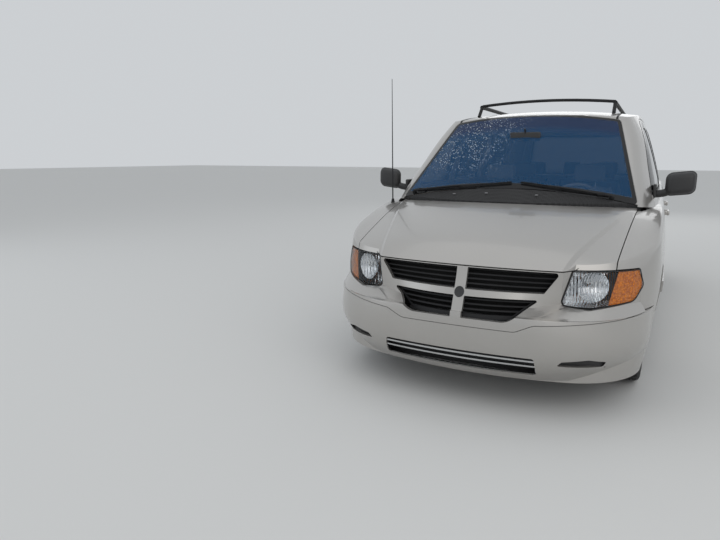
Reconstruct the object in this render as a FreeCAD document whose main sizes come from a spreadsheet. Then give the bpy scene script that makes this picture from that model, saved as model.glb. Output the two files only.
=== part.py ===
import FreeCAD, Part
import math
import os
from collections import namedtuple
from functools import lru_cache

# A long-wheelbase minivan, in millimetres. While it is drawn, x points to the
# vehicle's left, y runs rearwards from the front bumper's foremost point and
# z runs up from the road. Each sub-part's Placement then moves it forward by
# half the length, so that the origin lies on the road below the middle.

doc = FreeCAD.newDocument("Minivan")
vec = FreeCAD.Vector

# Driving dimensions
sizes = (
    ("length", 5093),
    ("body_width", 1966),
    ("height", 1750),
    ("wheelbase", 3030),
    ("front_axle", 975),
    ("track_front", 1600),
    ("track_rear", 1626),
    ("tyre_radius", 343),
    ("tyre_width", 215),
    ("rim_radius", 203),
    ("rim_width", 178),
    ("rim_thickness", 9),
    ("rim_flange", 7),
    ("disc_radius", 150),
    ("disc_thickness", 26),
    ("arch_radius", 388),
    ("sill_height", 190),
    ("floor_top", 430),
    ("floor_thickness", 40),
    ("door_bottom", 262),
    ("front_door_edge", 1440),
    ("door_split", 2502),
    ("slider_rear_edge", 3560),
    ("roof_rail_line", 1650),
    ("lower_wall", 82),
    ("upper_wall", 47),
    ("panel_skin", 25),
    ("panel_gap", 6),
    ("seam_gap", 3),
    ("seat_gap", 0.3),
    ("glass_thickness", 5),
    ("lens_thickness", 4),
    ("lamp_depth", 110),
    ("shoulder_radius", 30),
    ("parting_line", 790),
    ("kingpin_low_x", 712),
    ("kingpin_low_z", 200),
    ("kingpin_top_x", 600),
    ("kingpin_top_z", 850),
    ("seat_width", 520),
    ("seat_base_height", 740),
    ("seat_back_height", 1120),
    ("seat_head_height", 1300),
    ("wheel_rim_radius", 188),
    ("wheel_grip_radius", 15),
    ("column_radius", 24),
    ("engine_length", 660),
    ("engine_width", 760),
    ("engine_height", 520),
    ("engine_bottom", 244.3),
    ("tank_length", 900),
    ("tank_width", 430),
    ("tank_height", 190),
    ("pipe_radius", 29),
    ("silencer_radius", 95),
    ("silencer_length", 620),
    ("axle_tube_radius", 34),
    ("rail_width", 64),
    ("rail_height", 110),
    ("rack_rail_radius", 16),
    ("rack_bar_radius", 12),
    ("antenna_length", 925),
    ("plate_bolt_spacing", 178),
    ("plate_hole_radius", 3.2),
)

sheet = doc.addObject("Spreadsheet::Sheet", "Sizes")
for row, (name, value) in enumerate(sizes, 1):
    sheet.set("A%d" % row, name)
    sheet.set("B%d" % row, str(value))
    sheet.setAlias("B%d" % row, name)
doc.recompute()


def size(name):
    return float(sheet.get(name))


length = size("length")
half_width = size("body_width") / 2
height = size("height")
front_axle = size("front_axle")
rear_axle = front_axle + size("wheelbase")
tyre_radius = size("tyre_radius")
arch_radius = size("arch_radius")
gap = size("panel_gap")
seam = size("seam_gap")
seat = size("seat_gap")
skin = size("panel_skin")
far = 3000

# Sections of the body

# One horizontal section of the body: a centre arc, a corner arc, an outer
# corner and a bowed side, each tangent to the next, then a straight side and
# a rounded tail. The outer corner's radius is worked out from the width.
Section = namedtuple("Section", "height nose arc turn corner corner_turn inset tail")
Shape = namedtuple("Shape", "side_turn bow tail_arc tail_turn tail_corner_turn tail_bow")
lower_shape = Shape(87, 26, 3400, 12, 86, 30)
upper_shape = Shape(87.5, 20, 3000, 12, 86, 30)
bumper_shape = Shape(84, 30, 3400, 12, 86, 30)

lower_sections = (
    Section(190, 128, 2000, 16, 504, 40, 58, 130),
    Section(330, 115, 2000, 16, 504, 40, 28, 115),
    Section(470, 112, 2000, 16, 504, 40, 8, 95),
    Section(610, 122, 2000, 16, 504, 40, 0, 80),
    Section(790, 155, 2000, 16, 504, 40, 5, 80),
    Section(950, 215, 2000, 16, 504, 40, 21, 90),
    Section(1150, 320, 2000, 16, 504, 40, 51, 115),
)
upper_sections = (
    Section(880, 695, 1520, 31, 200, 70, 30, 112),
    Section(1000, 860, 1500, 31, 190, 70, 43, 120),
    Section(1120, 1025, 1480, 31, 180, 70, 68, 132),
    Section(1300, 1275, 1440, 30, 170, 70, 115, 165),
    Section(1480, 1525, 1400, 29, 160, 70, 171, 212),
    Section(1640, 1752, 1350, 27, 150, 70, 231, 262),
    Section(1800, 1985, 1300, 25, 140, 70, 301, 315),
)
bumper_sections = (
    Section(205, 92, 1900, 11.5, 545, 53, 58, 60),
    Section(300, 20, 2500, 9, 570, 52, 33, 30),
    Section(400, 2.5, 3600, 6.4, 590, 50, 26, 12),
    Section(490, 1, 4200, 5.2, 598, 50, 23, 4),
    Section(560, 10, 4200, 5.2, 598, 50, 23, 0),
)
rear_sections = (
    Section(190, 128, 2000, 16, 504, 40, 58, 66),
    Section(300, 118, 2000, 16, 504, 40, 33, 30),
    Section(420, 112, 2000, 16, 504, 40, 13, 8),
    Section(520, 114, 2000, 16, 504, 40, 3, 1),
    Section(585, 119, 2000, 16, 504, 40, 0, 6),
)
ledge_sections = (
    Section(585, 119, 2000, 16, 504, 40, 0, 6),
    Section(630, 124, 2000, 16, 504, 40, 0, 74),
)
shelf_sections = (
    Section(552, 8, 4200, 5.2, 598, 50, 24, 0),
    Section(615, 117, 2000, 16, 504, 40, 8, 14),
)

# Height of the hood and shoulder surface on the centre line, and how far it
# has fallen at crown_half from the centre
Crest = namedtuple("Crest", "station height fall raise_")
crown_half = 1100
lower_crest = (
    Crest(-60, 560, 190, 16),
    Crest(115, 778, 190, 16),
    Crest(230, 858, 178, 16),
    Crest(400, 920, 155, 17),
    Crest(650, 986, 132, 15),
    Crest(950, 1052, 108, 10),
    Crest(1300, 1088, 75, 4),
    Crest(1700, 1093, 55, 4),
    Crest(2200, 1096, 44, 4),
    Crest(2800, 1100, 42, 4),
    Crest(3500, 1106, 40, 4),
    Crest(4300, 1114, 40, 4),
    Crest(5200, 1124, 40, 4),
)
roof_crest = (
    Crest(1500, height - 150, 130, 0),
    Crest(1800, height - 82, 125, 0),
    Crest(2100, height - 38, 120, 0),
    Crest(2600, height - 6, 115, 0),
    Crest(3200, height, 115, 0),
    Crest(3900, height - 10, 115, 0),
    Crest(4600, height - 33, 115, 0),
    Crest(5300, height - 64, 115, 0),
)

# The grille surround's faces: foremost point and radius at each height
Prow = namedtuple("Prow", "height nose arc")
prow_sections = (
    Prow(470, 4, 760),
    Prow(530, 12, 780),
    Prow(607, 46, 950),
    Prow(654, 66, 1160),
    Prow(720, 94, 1700),
    Prow(790, 115, 2900),
    Prow(860, 150, 3200),
)
prow_half = 507
prow_flare = 70
prow_depth = 110


def arc_points(x, y, radius, start, end, z):
    points = []
    for angle in (start, (start + end) / 2, end):
        across = radius * (math.sin(angle) - math.sin(start))
        along = radius * (math.cos(start) - math.cos(angle))
        points.append(vec(x + across, y + along, z))
    return points


def mirrored(point):
    return vec(-point.x, point.y, point.z)


def section_wire(section, shape, skin):
    z = section.height
    turns = [math.radians(t) for t in (section.turn, section.corner_turn, shape.side_turn, 90)]
    width = half_width - section.inset
    sines = [math.sin(t) for t in turns]
    inner = width - shape.bow - section.arc * sines[0] - section.corner * (sines[1] - sines[0])
    outer_corner = inner / (sines[2] - sines[1])
    radii = (section.arc, section.corner, outer_corner, shape.bow / (1 - sines[2]))
    front = []
    x, y, angle = 0, section.nose + skin, 0
    for radius, turn in zip(radii, turns):
        front.append(arc_points(x, y, radius - skin, angle, turn, z))
        x, y, angle = front[-1][2].x, front[-1][2].y, turn
    turns = [math.radians(t) for t in (shape.tail_turn, shape.tail_corner_turn, 90)]
    sines = [math.sin(t) for t in turns]
    inner = width - shape.tail_bow - shape.tail_arc * sines[0]
    radii = (shape.tail_arc, inner / (sines[1] - sines[0]), shape.tail_bow / (1 - sines[1]))
    rear = []
    x, y, angle = 0, 0, 0
    for radius, turn in zip(radii, turns):
        points = arc_points(x, y, radius - skin, angle, turn, z)
        x, y, angle = points[2].x, points[2].y, turn
        rear.append([vec(p.x, length - section.tail - skin - p.y, z) for p in points])
    edges = [Part.Arc(mirrored(front[0][2]), front[0][0], front[0][2]).toShape()]
    for a, b, c in front[1:]:
        edges.append(Part.Arc(a, b, c).toShape())
    edges.append(Part.makeLine(front[-1][2], rear[-1][2]))
    for a, b, c in reversed(rear[1:]):
        edges.append(Part.Arc(c, b, a).toShape())
    edges.append(Part.Arc(rear[0][2], rear[0][0], mirrored(rear[0][2])).toShape())
    for a, b, c in rear[1:]:
        edges.append(Part.Arc(mirrored(a), mirrored(b), mirrored(c)).toShape())
    edges.append(Part.makeLine(mirrored(rear[-1][2]), mirrored(front[-1][2])))
    for a, b, c in reversed(front[1:]):
        edges.append(Part.Arc(mirrored(c), mirrored(b), mirrored(a)).toShape())
    return Part.Wire(edges)


def loft(sections, shape, skin, ruled=False):
    wires = [section_wire(s, shape, skin) for s in sections]
    return Part.makeLoft(wires, True, ruled)


def above(crests, lift):
    wires = []
    for crest in crests:
        left = vec(-crown_half, crest.station, crest.height + lift - crest.fall)
        middle = vec(0, crest.station, crest.height + lift)
        right = mirrored(left)
        top = vec(crown_half, crest.station, far)
        wires.append(Part.Wire([
            Part.Arc(left, middle, right).toShape(),
            Part.makeLine(right, top),
            Part.makeLine(top, mirrored(top)),
            Part.makeLine(mirrored(top), left),
        ]))
    return Part.makeLoft(wires, True, False)


def outer_rim(shape, test):
    counts = {}
    for face in shape.Faces:
        if test(face):
            for edge in face.Edges:
                counts.setdefault(edge.hashCode(), [edge, 0])[1] += 1
    return [edge for edge, uses in counts.values() if uses == 1]


@lru_cache(None)
def lower_loft(skin):
    return loft(lower_sections, lower_shape, skin)


@lru_cache(None)
def lower_crest_cutter(skin):
    return above(lower_crest, -skin)


@lru_cache(None)
def lower_body(skin):
    return lower_loft(skin).cut(lower_crest_cutter(skin))


@lru_cache(None)
def upper_body(skin):
    return loft(upper_sections, upper_shape, skin).cut(above(roof_crest, -skin))


@lru_cache(None)
def bumper_body(skin):
    base = loft(bumper_sections, bumper_shape, skin)
    shelf = loft(shelf_sections, bumper_shape, skin, True)
    return base.fuse(shelf)


@lru_cache(None)
def prow_body(skin):
    wires = []
    half = prow_half - skin
    for row in prow_sections:
        radius = row.arc - skin
        nose = row.nose + skin
        side = nose + radius - math.sqrt(radius ** 2 - half ** 2)
        corner = vec(half, side, row.height)
        back = vec(half + prow_flare, side + prow_depth, row.height)
        wires.append(Part.Wire([
            Part.Arc(mirrored(corner), vec(0, nose, row.height), corner).toShape(),
            Part.makeLine(corner, back),
            Part.makeLine(back, mirrored(back)),
            Part.makeLine(mirrored(back), mirrored(corner)),
        ]))
    return Part.makeLoft(wires, True, False)


# The raised middle of the hood, between two creases that spread rearwards
crease_front = 515
crease_station = 208
crease_spread = 0.28
crease_bevel = 22


@lru_cache(None)
def crown_body(skin):
    wires = []
    for crest in lower_crest:
        if crest.station > 1400:
            continue
        half = crease_front + crease_spread * (crest.station - crease_station) - skin * 0.4
        fall = crest.fall / crown_half ** 2

        def drop(x):
            return vec(x, crest.station, crest.height - skin - fall * x * x)
        up = vec(0, 0, crest.raise_)
        edge = drop(half) + up
        foot = drop(half + crease_bevel) - vec(0, 0, 2)
        deep = vec(foot.x, foot.y, foot.z - 260)
        wires.append(Part.Wire([
            Part.Arc(mirrored(edge), drop(0) + up, edge).toShape(),
            Part.makeLine(edge, foot),
            Part.makeLine(foot, deep),
            Part.makeLine(deep, mirrored(deep)),
            Part.makeLine(mirrored(deep), mirrored(foot)),
            Part.makeLine(mirrored(foot), mirrored(edge)),
        ]))
    return Part.makeLoft(wires, True, False)


# Outlines: corners with a radius each, listed counter-clockwise and grown by
# an offset, then extruded along one axis
Corner = namedtuple("Corner", "a b radius")


def outline_edges(corners, grow, place):
    count = len(corners)
    lines = []
    for i in range(count):
        p, q = corners[i], corners[(i + 1) % count]
        run = math.hypot(q.a - p.a, q.b - p.b)
        dx, dy = (q.a - p.a) / run, (q.b - p.b) / run
        lines.append((p.a + dy * grow, p.b - dx * grow, dx, dy))
    tips = []
    for i in range(count):
        ax, ay, ux, uy = lines[i - 1]
        bx, by, wx, wy = lines[i]
        cross = ux * wy - uy * wx
        t = ((bx - ax) * wy - (by - ay) * wx) / cross
        turn = math.atan2(cross, ux * wx + uy * wy)
        radius = max(0, corners[i].radius + (grow if turn > 0 else -grow)) if corners[i].radius else 0
        cut = radius * math.tan(abs(turn) / 2)
        x, y = ax + ux * t, ay + uy * t
        start = (x - ux * cut, y - uy * cut)
        end = (x + wx * cut, y + wy * cut)
        side = radius * (1 if turn > 0 else -1)
        centre = (start[0] - uy * side, start[1] + ux * side)
        mid = math.hypot(x - centre[0], y - centre[1])
        if radius:
            scale = radius / mid
            middle = (centre[0] + (x - centre[0]) * scale, centre[1] + (y - centre[1]) * scale)
        else:
            middle = (x, y)
        tips.append((start, middle, end, radius))
    edges = []
    for i in range(count):
        start, middle, end, radius = tips[i]
        if radius:
            edges.append(Part.Arc(place(start), place(middle), place(end)).toShape())
        follow = tips[(i + 1) % count][0]
        if math.hypot(follow[0] - end[0], follow[1] - end[1]) > 1e-6:
            edges.append(Part.makeLine(place(end), place(follow)))
    return edges


def prism(corners, grow, place, along):
    corners = [Corner(*c) for c in corners]
    return Part.Face(Part.Wire(outline_edges(corners, grow, place))).extrude(along)


def side_prism(corners, x0, x1, grow=0):
    return prism(corners, grow, lambda p: vec(x0, p[0], p[1]), vec(x1 - x0, 0, 0))


def front_prism(corners, y0, y1, grow=0):
    return prism(corners, grow, lambda p: vec(p[0], y0, p[1]), vec(0, y1 - y0, 0))


def plan_prism(corners, z0, z1, grow=0):
    return prism(corners, grow, lambda p: vec(p[0], p[1], z0), vec(0, 0, z1 - z0))


def block(x0, x1, y0, y1, z0, z1):
    return Part.makeBox(x1 - x0, y1 - y0, z1 - z0, vec(x0, y0, z0))


def drum(radius, x0, x1, y, z):
    return Part.makeCylinder(radius, x1 - x0, vec(x0, y, z), vec(1, 0, 0))


def flipped(shape):
    return shape.mirror(vec(0, 0, 0), vec(1, 0, 0))


def both(shape):
    return [shape, flipped(shape)]


def solids_of(shape):
    parts = []
    for item in (shape if isinstance(shape, list) else [shape]):
        parts += [s for s in item.Solids if s.Volume > 1000]
    return parts


nodes = []


def keep(label, shape):
    parts = solids_of(shape)
    whole = parts[0] if len(parts) == 1 else Part.makeCompound(parts)
    node = doc.addObject("Part::Feature", label.title().replace("_", ""))
    node.Shape = whole
    node.Label = label
    node.Placement = FreeCAD.Placement(vec(0, -length / 2, 0), FreeCAD.Rotation()) * whole.Placement
    nodes.append(node)
    return node


# Left-hand solids at several depths below the outer surface, from the
# engine bulkhead back; the right-hand side is their mirror image

bulkhead = 1150
left_zone = block(20, half_width + 60, bulkhead, length + 60, 0, height + 60)


def left_lower(depth):
    return lower_body(depth).common(left_zone)


def left_upper(depth):
    return upper_body(depth).common(left_zone)


lower_full = lower_body(0)
shoulder = outer_rim(lower_full, lambda f: f.CenterOfMass.z > 850 and f.BoundBox.XLength > 1500
                     and f.BoundBox.YLength > 2500)
lower_full = lower_full.makeFillet(size("shoulder_radius"), shoulder)
upper_full = upper_body(0)
low_skin = lower_full.common(left_zone)
top_skin = upper_full.common(left_zone)
low_inside = left_lower(size("lower_wall"))
top_inside = left_upper(size("upper_wall"))
low_wall = low_skin.cut(low_inside).cut(top_inside)
top_wall = top_skin.cut(top_inside)

# Outlines seen from the side: station aft, height, corner radius

sill = size("sill_height")
door_edge = size("front_door_edge")
door_split = size("door_split")
slider_edge = size("slider_rear_edge")
door_bottom = size("door_bottom")
rail_line = size("roof_rail_line")
slope = 0.759
pillar_foot = door_edge - 45
pillar_top = pillar_foot + (rail_line - 1100) / slope

front_door_outline = (
    (door_edge, door_bottom, 40),
    (door_split - gap / 2, door_bottom, 40),
    (door_split - gap / 2, rail_line, 12),
    (pillar_top, rail_line - 8, 260),
    (pillar_foot, 1100, 110),
)
shut_lean = 42
slider_outline = (
    (door_split + gap / 2, door_bottom, 40),
    (slider_edge, door_bottom, 40),
    (slider_edge, rail_line, 60),
    (door_split + gap / 2 - shut_lean, rail_line, 12),
    (door_split + gap / 2, 700, 0),
)
split_outline = (
    (door_split - 70, door_bottom + 60, 0),
    (door_split + 70, door_bottom + 60, 0),
    (door_split + 70, rail_line, 0),
    (door_split - 70, rail_line, 0),
)
front_glass_outline = (
    (door_edge + 120, 1128, 30),
    (door_split - 75, 1134, 40),
    (door_split - 75, 1588, 30),
    (pillar_top + 60, 1578, 90),
)
slider_glass_outline = (
    (door_split + 75, 1136, 40),
    (slider_edge - 70, 1142, 40),
    (slider_edge - 70, 1590, 40),
    (door_split + 75, 1592, 40),
)
quarter_glass_outline = (
    (slider_edge + 75, 1146, 50),
    (length - 500, 1156, 70),
    (length - 590, 1580, 60),
    (slider_edge + 75, 1592, 50),
)

# Outlines seen from the front or the rear: across, height, corner radius
shield_outline = (
    (-794, 1066, 12),
    (0, 1236, 3550),
    (794, 1066, 12),
    (615, 1626, 40),
    (0, 1716, 3900),
    (-615, 1626, 40),
)
gate_outline = (
    (-700, 622, 60),
    (700, 622, 60),
    (715, 1110, 300),
    (596, 1640, 60),
    (0, 1716, 3600),
    (-596, 1640, 60),
    (-715, 1110, 300),
)
gate_glass_outline = (
    (-610, 1130, 50),
    (610, 1130, 50),
    (540, 1610, 60),
    (-540, 1610, 60),
)
tail_lamp_front = length - 300
tail_lamp_outline = (
    (752, 780, 20),
    (1100, 780, 20),
    (1100, 1130, 20),
    (748, 1130, 20),
)

roof_half = 596
fender_back = door_edge - gap
side_front = front_axle + arch_radius + 12
arch_rear = drum(arch_radius, 300, 1200, rear_axle, tyre_radius)
rear_seam = length - 453
beyond = half_width + 100
door_outlines = (front_door_outline, slider_outline, split_outline)
outboard = block(roof_half + gap + seam, beyond, bulkhead, length, 0, height)
cowl_outline = (
    (-792, 1030, 0),
    (792, 1030, 0),
    (792, 1061, 0),
    (0, 1231, 3550),
    (-792, 1061, 0),
)


def side_face(corners, grow=0):
    return Part.Face(Part.Wire(outline_edges([Corner(*c) for c in corners], grow, at_side)))


def at_side(point):
    return vec(300, point[0], point[1])


def through(face):
    return face.extrude(vec(beyond - 300, 0, 0))


def door_panel(outline, glass):
    tool = through(side_face(outline)).common(outboard)
    low = low_wall.common(tool)
    frame = top_wall.common(tool).cut(through(side_face(glass)))
    return low.fuse(frame)


def pane(outline):
    thickness = size("glass_thickness")
    sheet = upper_body(2).cut(upper_body(2 + thickness))
    return sheet.common(through(side_face(outline, -seat)))


def body_side():
    face = side_face((
        (side_front, sill - 50, 0),
        (length + 50, sill - 50, 0),
        (length + 50, height + 50, 0),
        (bulkhead + 2, height + 50, 0),
        (bulkhead + 2, 1054, 0),
        (side_front, 1037, 0),
    ))
    for outline in door_outlines:
        face = face.cut(side_face(outline, gap))
    face = face.cut(side_face(quarter_glass_outline))
    arch = Part.makeCylinder(arch_radius, 10, vec(295, rear_axle, tyre_radius), vec(1, 0, 0))
    face = face.cut(arch)
    face = face.cut(side_face((
        (rear_seam - seam, sill - 90, 0),
        (length + 99, sill - 90, 0),
        (length + 99, 618, 0),
        (rear_seam - seam, 618, 0),
    )))
    tool = through(face)
    low = low_wall.common(tool)
    top = top_wall.common(tool)
    gate = front_prism(gate_outline, length - 420, length + 100, gap)
    low = low.cut(gate)
    top = top.cut(gate)
    rail = block(roof_half + seam, 1200, 1100, length + 100, 900, height + 50)
    top = top.common(block(0, 1200, 1100, length + 100, 900, 1600).fuse(rail))
    top = top.cut(front_prism(shield_outline, 700, 2400, seam))
    cowl_clear = front_prism(cowl_outline, 800, 1500, 5).fuse(block(0, 797, 800, 1500, 900, 1060))
    top = top.cut(cowl_clear)
    low = low.cut(cowl_clear)
    fender_zone = block(0, 1200, 1000, fender_back, sill - 60, 1085)
    low = low.cut(fender_zone.cut(left_lower(skin + 1)))
    lamp = front_prism(tail_lamp_outline, tail_lamp_front - 2, length + 200, 2)
    low = low.cut(lamp.cut(left_lower(60)))
    top = top.cut(lamp.cut(left_upper(45)))
    return low.fuse(top)


side = body_side()
lid_outline = (
    (4330, 860, 30),
    (4490, 860, 30),
    (4490, 1010, 30),
    (4330, 1010, 30),
)
lid_thickness = 12
lid_floor = 888
pocket = side_prism(lid_outline, lid_floor, beyond, 4)
keep("body_side_left", side.cut(pocket))
keep("body_side_right", flipped(side))
lid = low_skin.common(side_prism(lid_outline, 700, beyond)).cut(left_lower(lid_thickness))
keep("fuel_door", lid)

# The front doors' hinge line leans inwards with the body; their rear edge and
# the sliding doors' front edge are arcs about it
hinge_lean = math.radians(4)
hinge_foot = vec(979, door_edge, 900)
hinge_up = vec(-math.sin(hinge_lean), 0, math.cos(hinge_lean))
door_reach = door_split - gap / 2 - door_edge


def swing(radius):
    return Part.makeCylinder(radius, 1800, hinge_foot - hinge_up * 900, hinge_up)


front_door = door_panel(front_door_outline, front_glass_outline).common(swing(door_reach))
slider = door_panel(slider_outline, slider_glass_outline).cut(swing(door_reach + gap))
quarter_pane = pane(quarter_glass_outline)
front_pane = pane(front_glass_outline)
slider_pane = pane(slider_glass_outline)
for name, solid in (("front_door", front_door), ("sliding_door", slider), ("front_door_glass", front_pane)):
    keep(name + "_left", solid)
    keep(name + "_right", flipped(solid))
keep("side_windows", both(quarter_pane) + both(slider_pane))

# Roof, windshield and liftgate
roof_zone = block(-roof_half, roof_half, 1300, length, 1600, height + 60)
crown_shell = upper_full.cut(upper_body(size("upper_wall")))
roof = crown_shell.common(roof_zone)
roof = roof.cut(front_prism(shield_outline, 700, 2400, seam))
roof = roof.cut(front_prism(gate_outline, length - 420, length + 100, gap))
keep("roof_panel", roof)

shield_zone = block(-1100, 1100, 800, 2400, 1000, height)
shield = upper_full.common(shield_zone).common(front_prism(shield_outline, 700, 2400))
shield = shield.cut(upper_body(size("glass_thickness")))
keep("windshield", shield)

rear_zone = block(-1100, 1100, length - 700, length + 60, 500, height + 60)
tail_room = upper_body(size("upper_wall"))
tail_low = lower_full.common(rear_zone).cut(lower_body(size("lower_wall"))).cut(tail_room)
tail_top = upper_full.common(rear_zone).cut(tail_room)
gate_tool = front_prism(gate_outline, length - 420, length + 100)
gate_hole = front_prism(gate_glass_outline, length - 700, length + 100)
gate = tail_low.common(gate_tool).fuse(tail_top.common(gate_tool).cut(gate_hole))
plate_flat = length - 94
plate_z = 810
gate = gate.cut(block(-170, 170, plate_flat, length + 50, plate_z - 85, plate_z + 85))
spacing = size("plate_bolt_spacing")
for sign in (1, -1):
    bolt_start = vec(sign * spacing / 2, plate_flat - 20, plate_z + 50)
    gate = gate.cut(Part.makeCylinder(size("plate_hole_radius"), 24, bolt_start, vec(0, 1, 0)))
gate_pane = upper_body(2).cut(upper_body(2 + size("glass_thickness")))
gate_pane = gate_pane.common(front_prism(gate_glass_outline, length - 700, length + 100, -seat))
keep("liftgate", gate)
keep("liftgate_glass", gate_pane)

# Front panels

nose_zone = block(-1100, 1100, -60, 1500, 150, 1300)


def front_face(corners, grow=0):
    edges = outline_edges([Corner(*c) for c in corners], grow, at_front)
    return Part.Face(Part.Wire(edges))


def at_front(point):
    return vec(point[0], -60, point[1])


def rectangle(x0, x1, z0, z1):
    corners = [vec(x0, -60, z0), vec(x1, -60, z0), vec(x1, -60, z1), vec(x0, -60, z1), vec(x0, -60, z0)]
    return Part.Face(Part.makePolygon(corners))


def front_solid(depth):
    core = lower_loft(depth).common(nose_zone)
    prow = prow_body(depth)
    base = core.fuse(prow)
    raised = base.common(crown_body(depth))
    base = base.cut(lower_crest_cutter(depth))
    bumper = bumper_body(depth).common(nose_zone)
    return base.fuse(raised).fuse(bumper)


front_full = front_solid(0)
front_inner = front_solid(skin)
front_shell = front_full.cut(front_inner)
parting = size("parting_line")
hood_outline = (
    (-740, -100, 0),
    (740, -100, 0),
    (740, 309, 100),
    (797, 1186, 8),
    (0, 690, 1440),
    (-797, 1186, 8),
    (-740, 309, 100),
)
bumper_outline = (
    (-1100, 100, 0),
    (1100, 100, 0),
    (1100, 578, 0),
    (883, 562, 200),
    (400, 528, 80),
    (310, 485, 80),
    (-310, 485, 80),
    (-400, 528, 80),
    (-883, 562, 200),
    (-1100, 578, 0),
)
lamp_outline = (
    (500, 610, 25),
    (640, 598, 60),
    (838, 622, 40),
    (874, 700, 40),
    (850, parting + 1, 12),
    (546, parting + 1, 12),
)
bar_half = 29
bar_low, bar_high = 637, 671
grille_top = (
    (bar_half, bar_high, 4),
    (424, bar_high, 8),
    (499, 783, 14),
    (bar_half, 783, 4),
)
grille_bottom = (
    (bar_half, 529, 4),
    (268, 529, 100),
    (408, bar_low, 8),
    (bar_half, bar_low, 4),
)
grille_outline = (
    (268, 529, 90),
    (418, 654, 300),
    (499, 783, 14),
    (-499, 783, 14),
    (-418, 654, 300),
    (-268, 529, 90),
)
low_grille_outline = (
    (-424, 247, 18),
    (424, 247, 18),
    (410, 352, 14),
    (-410, 352, 14),
)
fog_outline = (
    (516, 320, 5),
    (542, 346, 10),
    (664, 357, 40),
    (742, 336, 8),
    (724, 303, 10),
)
fascia_end = 447
arch_front_edge = front_axle - arch_radius + 10
arch_front = drum(arch_radius, -1200, 1200, front_axle, tyre_radius)
hood = front_shell.common(plan_prism(hood_outline, parting + seam, 1300))
keep("hood", hood)

lamps = front_prism(lamp_outline, 0, 620).common(block(300, 1100, 0, 620, 500, 900))
below_hood = block(-1100, 1100, -60, 700, 150, parting - seam)
fascia_face = rectangle(-1100, 1100, 300, parting - seam)
fascia_face = fascia_face.cut(front_face(bumper_outline, seam))
fascia_face = fascia_face.cut(front_face(lamp_outline, seam)).cut(flipped(front_face(lamp_outline, seam)))
fascia_tool = fascia_face.extrude(vec(0, fascia_end + 60, 0))
fascia = front_shell.common(fascia_tool)
for quadrant in (grille_top, grille_bottom):
    hole = front_prism(quadrant, -60, 400)
    fascia = fascia.cut(hole).cut(flipped(hole))
keep("front_fascia", fascia)

bumper = front_shell.common(front_prism(bumper_outline, -100, arch_front_edge))
bumper = bumper.cut(arch_front).cut(front_prism(low_grille_outline, -60, 300))
fog_slot = front_prism(fog_outline, -60, 420)
bumper = bumper.cut(fog_slot).cut(flipped(fog_slot))
keep("front_bumper", bumper)

lamp_face = lower_loft(0).common(nose_zone)
lens_back = lower_loft(size("lens_thickness")).common(nose_zone)
lens = lamp_face.cut(lens_back).common(front_prism(lamp_outline, 0, 620))
lens = lens.common(block(300, 1100, 0, 620, 500, parting - seam))
keep("headlamp_lenses", both(lens))
cup_front = lower_loft(size("lens_thickness") + seat).common(nose_zone)
cup_back = lower_loft(size("lamp_depth")).common(nose_zone)
cup = cup_front.cut(cup_back).common(front_prism(lamp_outline, 0, 620))
cup = cup.common(block(300, 1100, 0, 620, 500, parting - seam))
floor_of_cup = lower_loft(size("lamp_depth") - 4).common(nose_zone)
inside = cup_front.cut(floor_of_cup).common(front_prism(lamp_outline, 0, 620, -4))
inside = inside.common(block(300, 1100, 0, 620, 500, parting - seam - 4))
keep("headlamps", both(cup.cut(inside)))

# Black slats behind the opening, following the grille surround's curve
slat_pitch = 25.5
slat_height = 7
grille_lap = 3
grille_shell = prow_body(skin + seat).cut(prow_body(skin + 14))
grille_bars = grille_shell.common(front_prism(grille_outline, -60, 400, grille_lap))
grille_holes = []
z = 540
while z < 780:
    for x0, x1 in ((-600, -8), (8, 600)):
        grille_holes.append(rectangle(x0, x1, z + slat_height, z + slat_pitch))
    z += slat_pitch
inner_hole = front_face(grille_outline, -6)
cut_faces = [hole.common(inner_hole) for hole in grille_holes]
cutters = [f.extrude(vec(0, 400, 0)) for hole in cut_faces for f in hole.Faces]
grille = grille_bars.cut(cutters).cut(lower_crest_cutter(skin + seat))
keep("grille", grille)

low_open = front_prism(low_grille_outline, -60, 300, -seat)
low_face = bumper_body(6).common(nose_zone)
low_rear = bumper_body(20).common(nose_zone)
low_bars = block(-600, 600, -60, 300, 240, 254).multiFuse([
    block(-600, 600, -60, 300, 299, 309),
    block(-600, 600, -60, 300, 328, 338),
    block(-424, -416, -60, 300, 240, 350),
    block(416, 424, -60, 300, 240, 350),
])
keep("lower_grille", low_face.cut(low_rear).common(low_open).common(low_bars))

fender = lower_full.common(nose_zone).cut(lower_body(skin).common(nose_zone))
fender = fender.common(block(300, 1100, 250, fender_back, sill, 1085))
fender = fender.cut(plan_prism(hood_outline, parting, 1300, gap - 1))
fender = fender.cut(through(side_face(front_door_outline, gap)))
fender = fender.cut(block(0, 802, 1180, 1500, 900, 1300))
fender = fender.cut(block(0, 1100, 0, fascia_end + seam, 150, parting))
fender = fender.cut(front_prism(bumper_outline, -100, arch_front_edge + seam, seam))
fender = fender.cut(front_prism(lamp_outline, 0, 620, seam))
fender = fender.cut(upper_body(-2).common(left_zone))
fender = fender.cut(arch_front)
fender = max(fender.Solids, key=lambda part: part.Volume)
keep("front_fenders", both(fender))

# Cowl, bumpers, lamps and openings at the rear

cowl_zone = block(-1100, 1100, 800, 1500, 1000, 1300)
cowl = upper_full.common(cowl_zone).cut(upper_body(skin))
cowl = cowl.common(front_prism(cowl_outline, 800, 1500))
cowl = cowl.cut(plan_prism(hood_outline, 900, 1300, gap + 2))
cowl = max(cowl.Solids, key=lambda part: part.Volume)
keep("cowl_panel", cowl)

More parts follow.
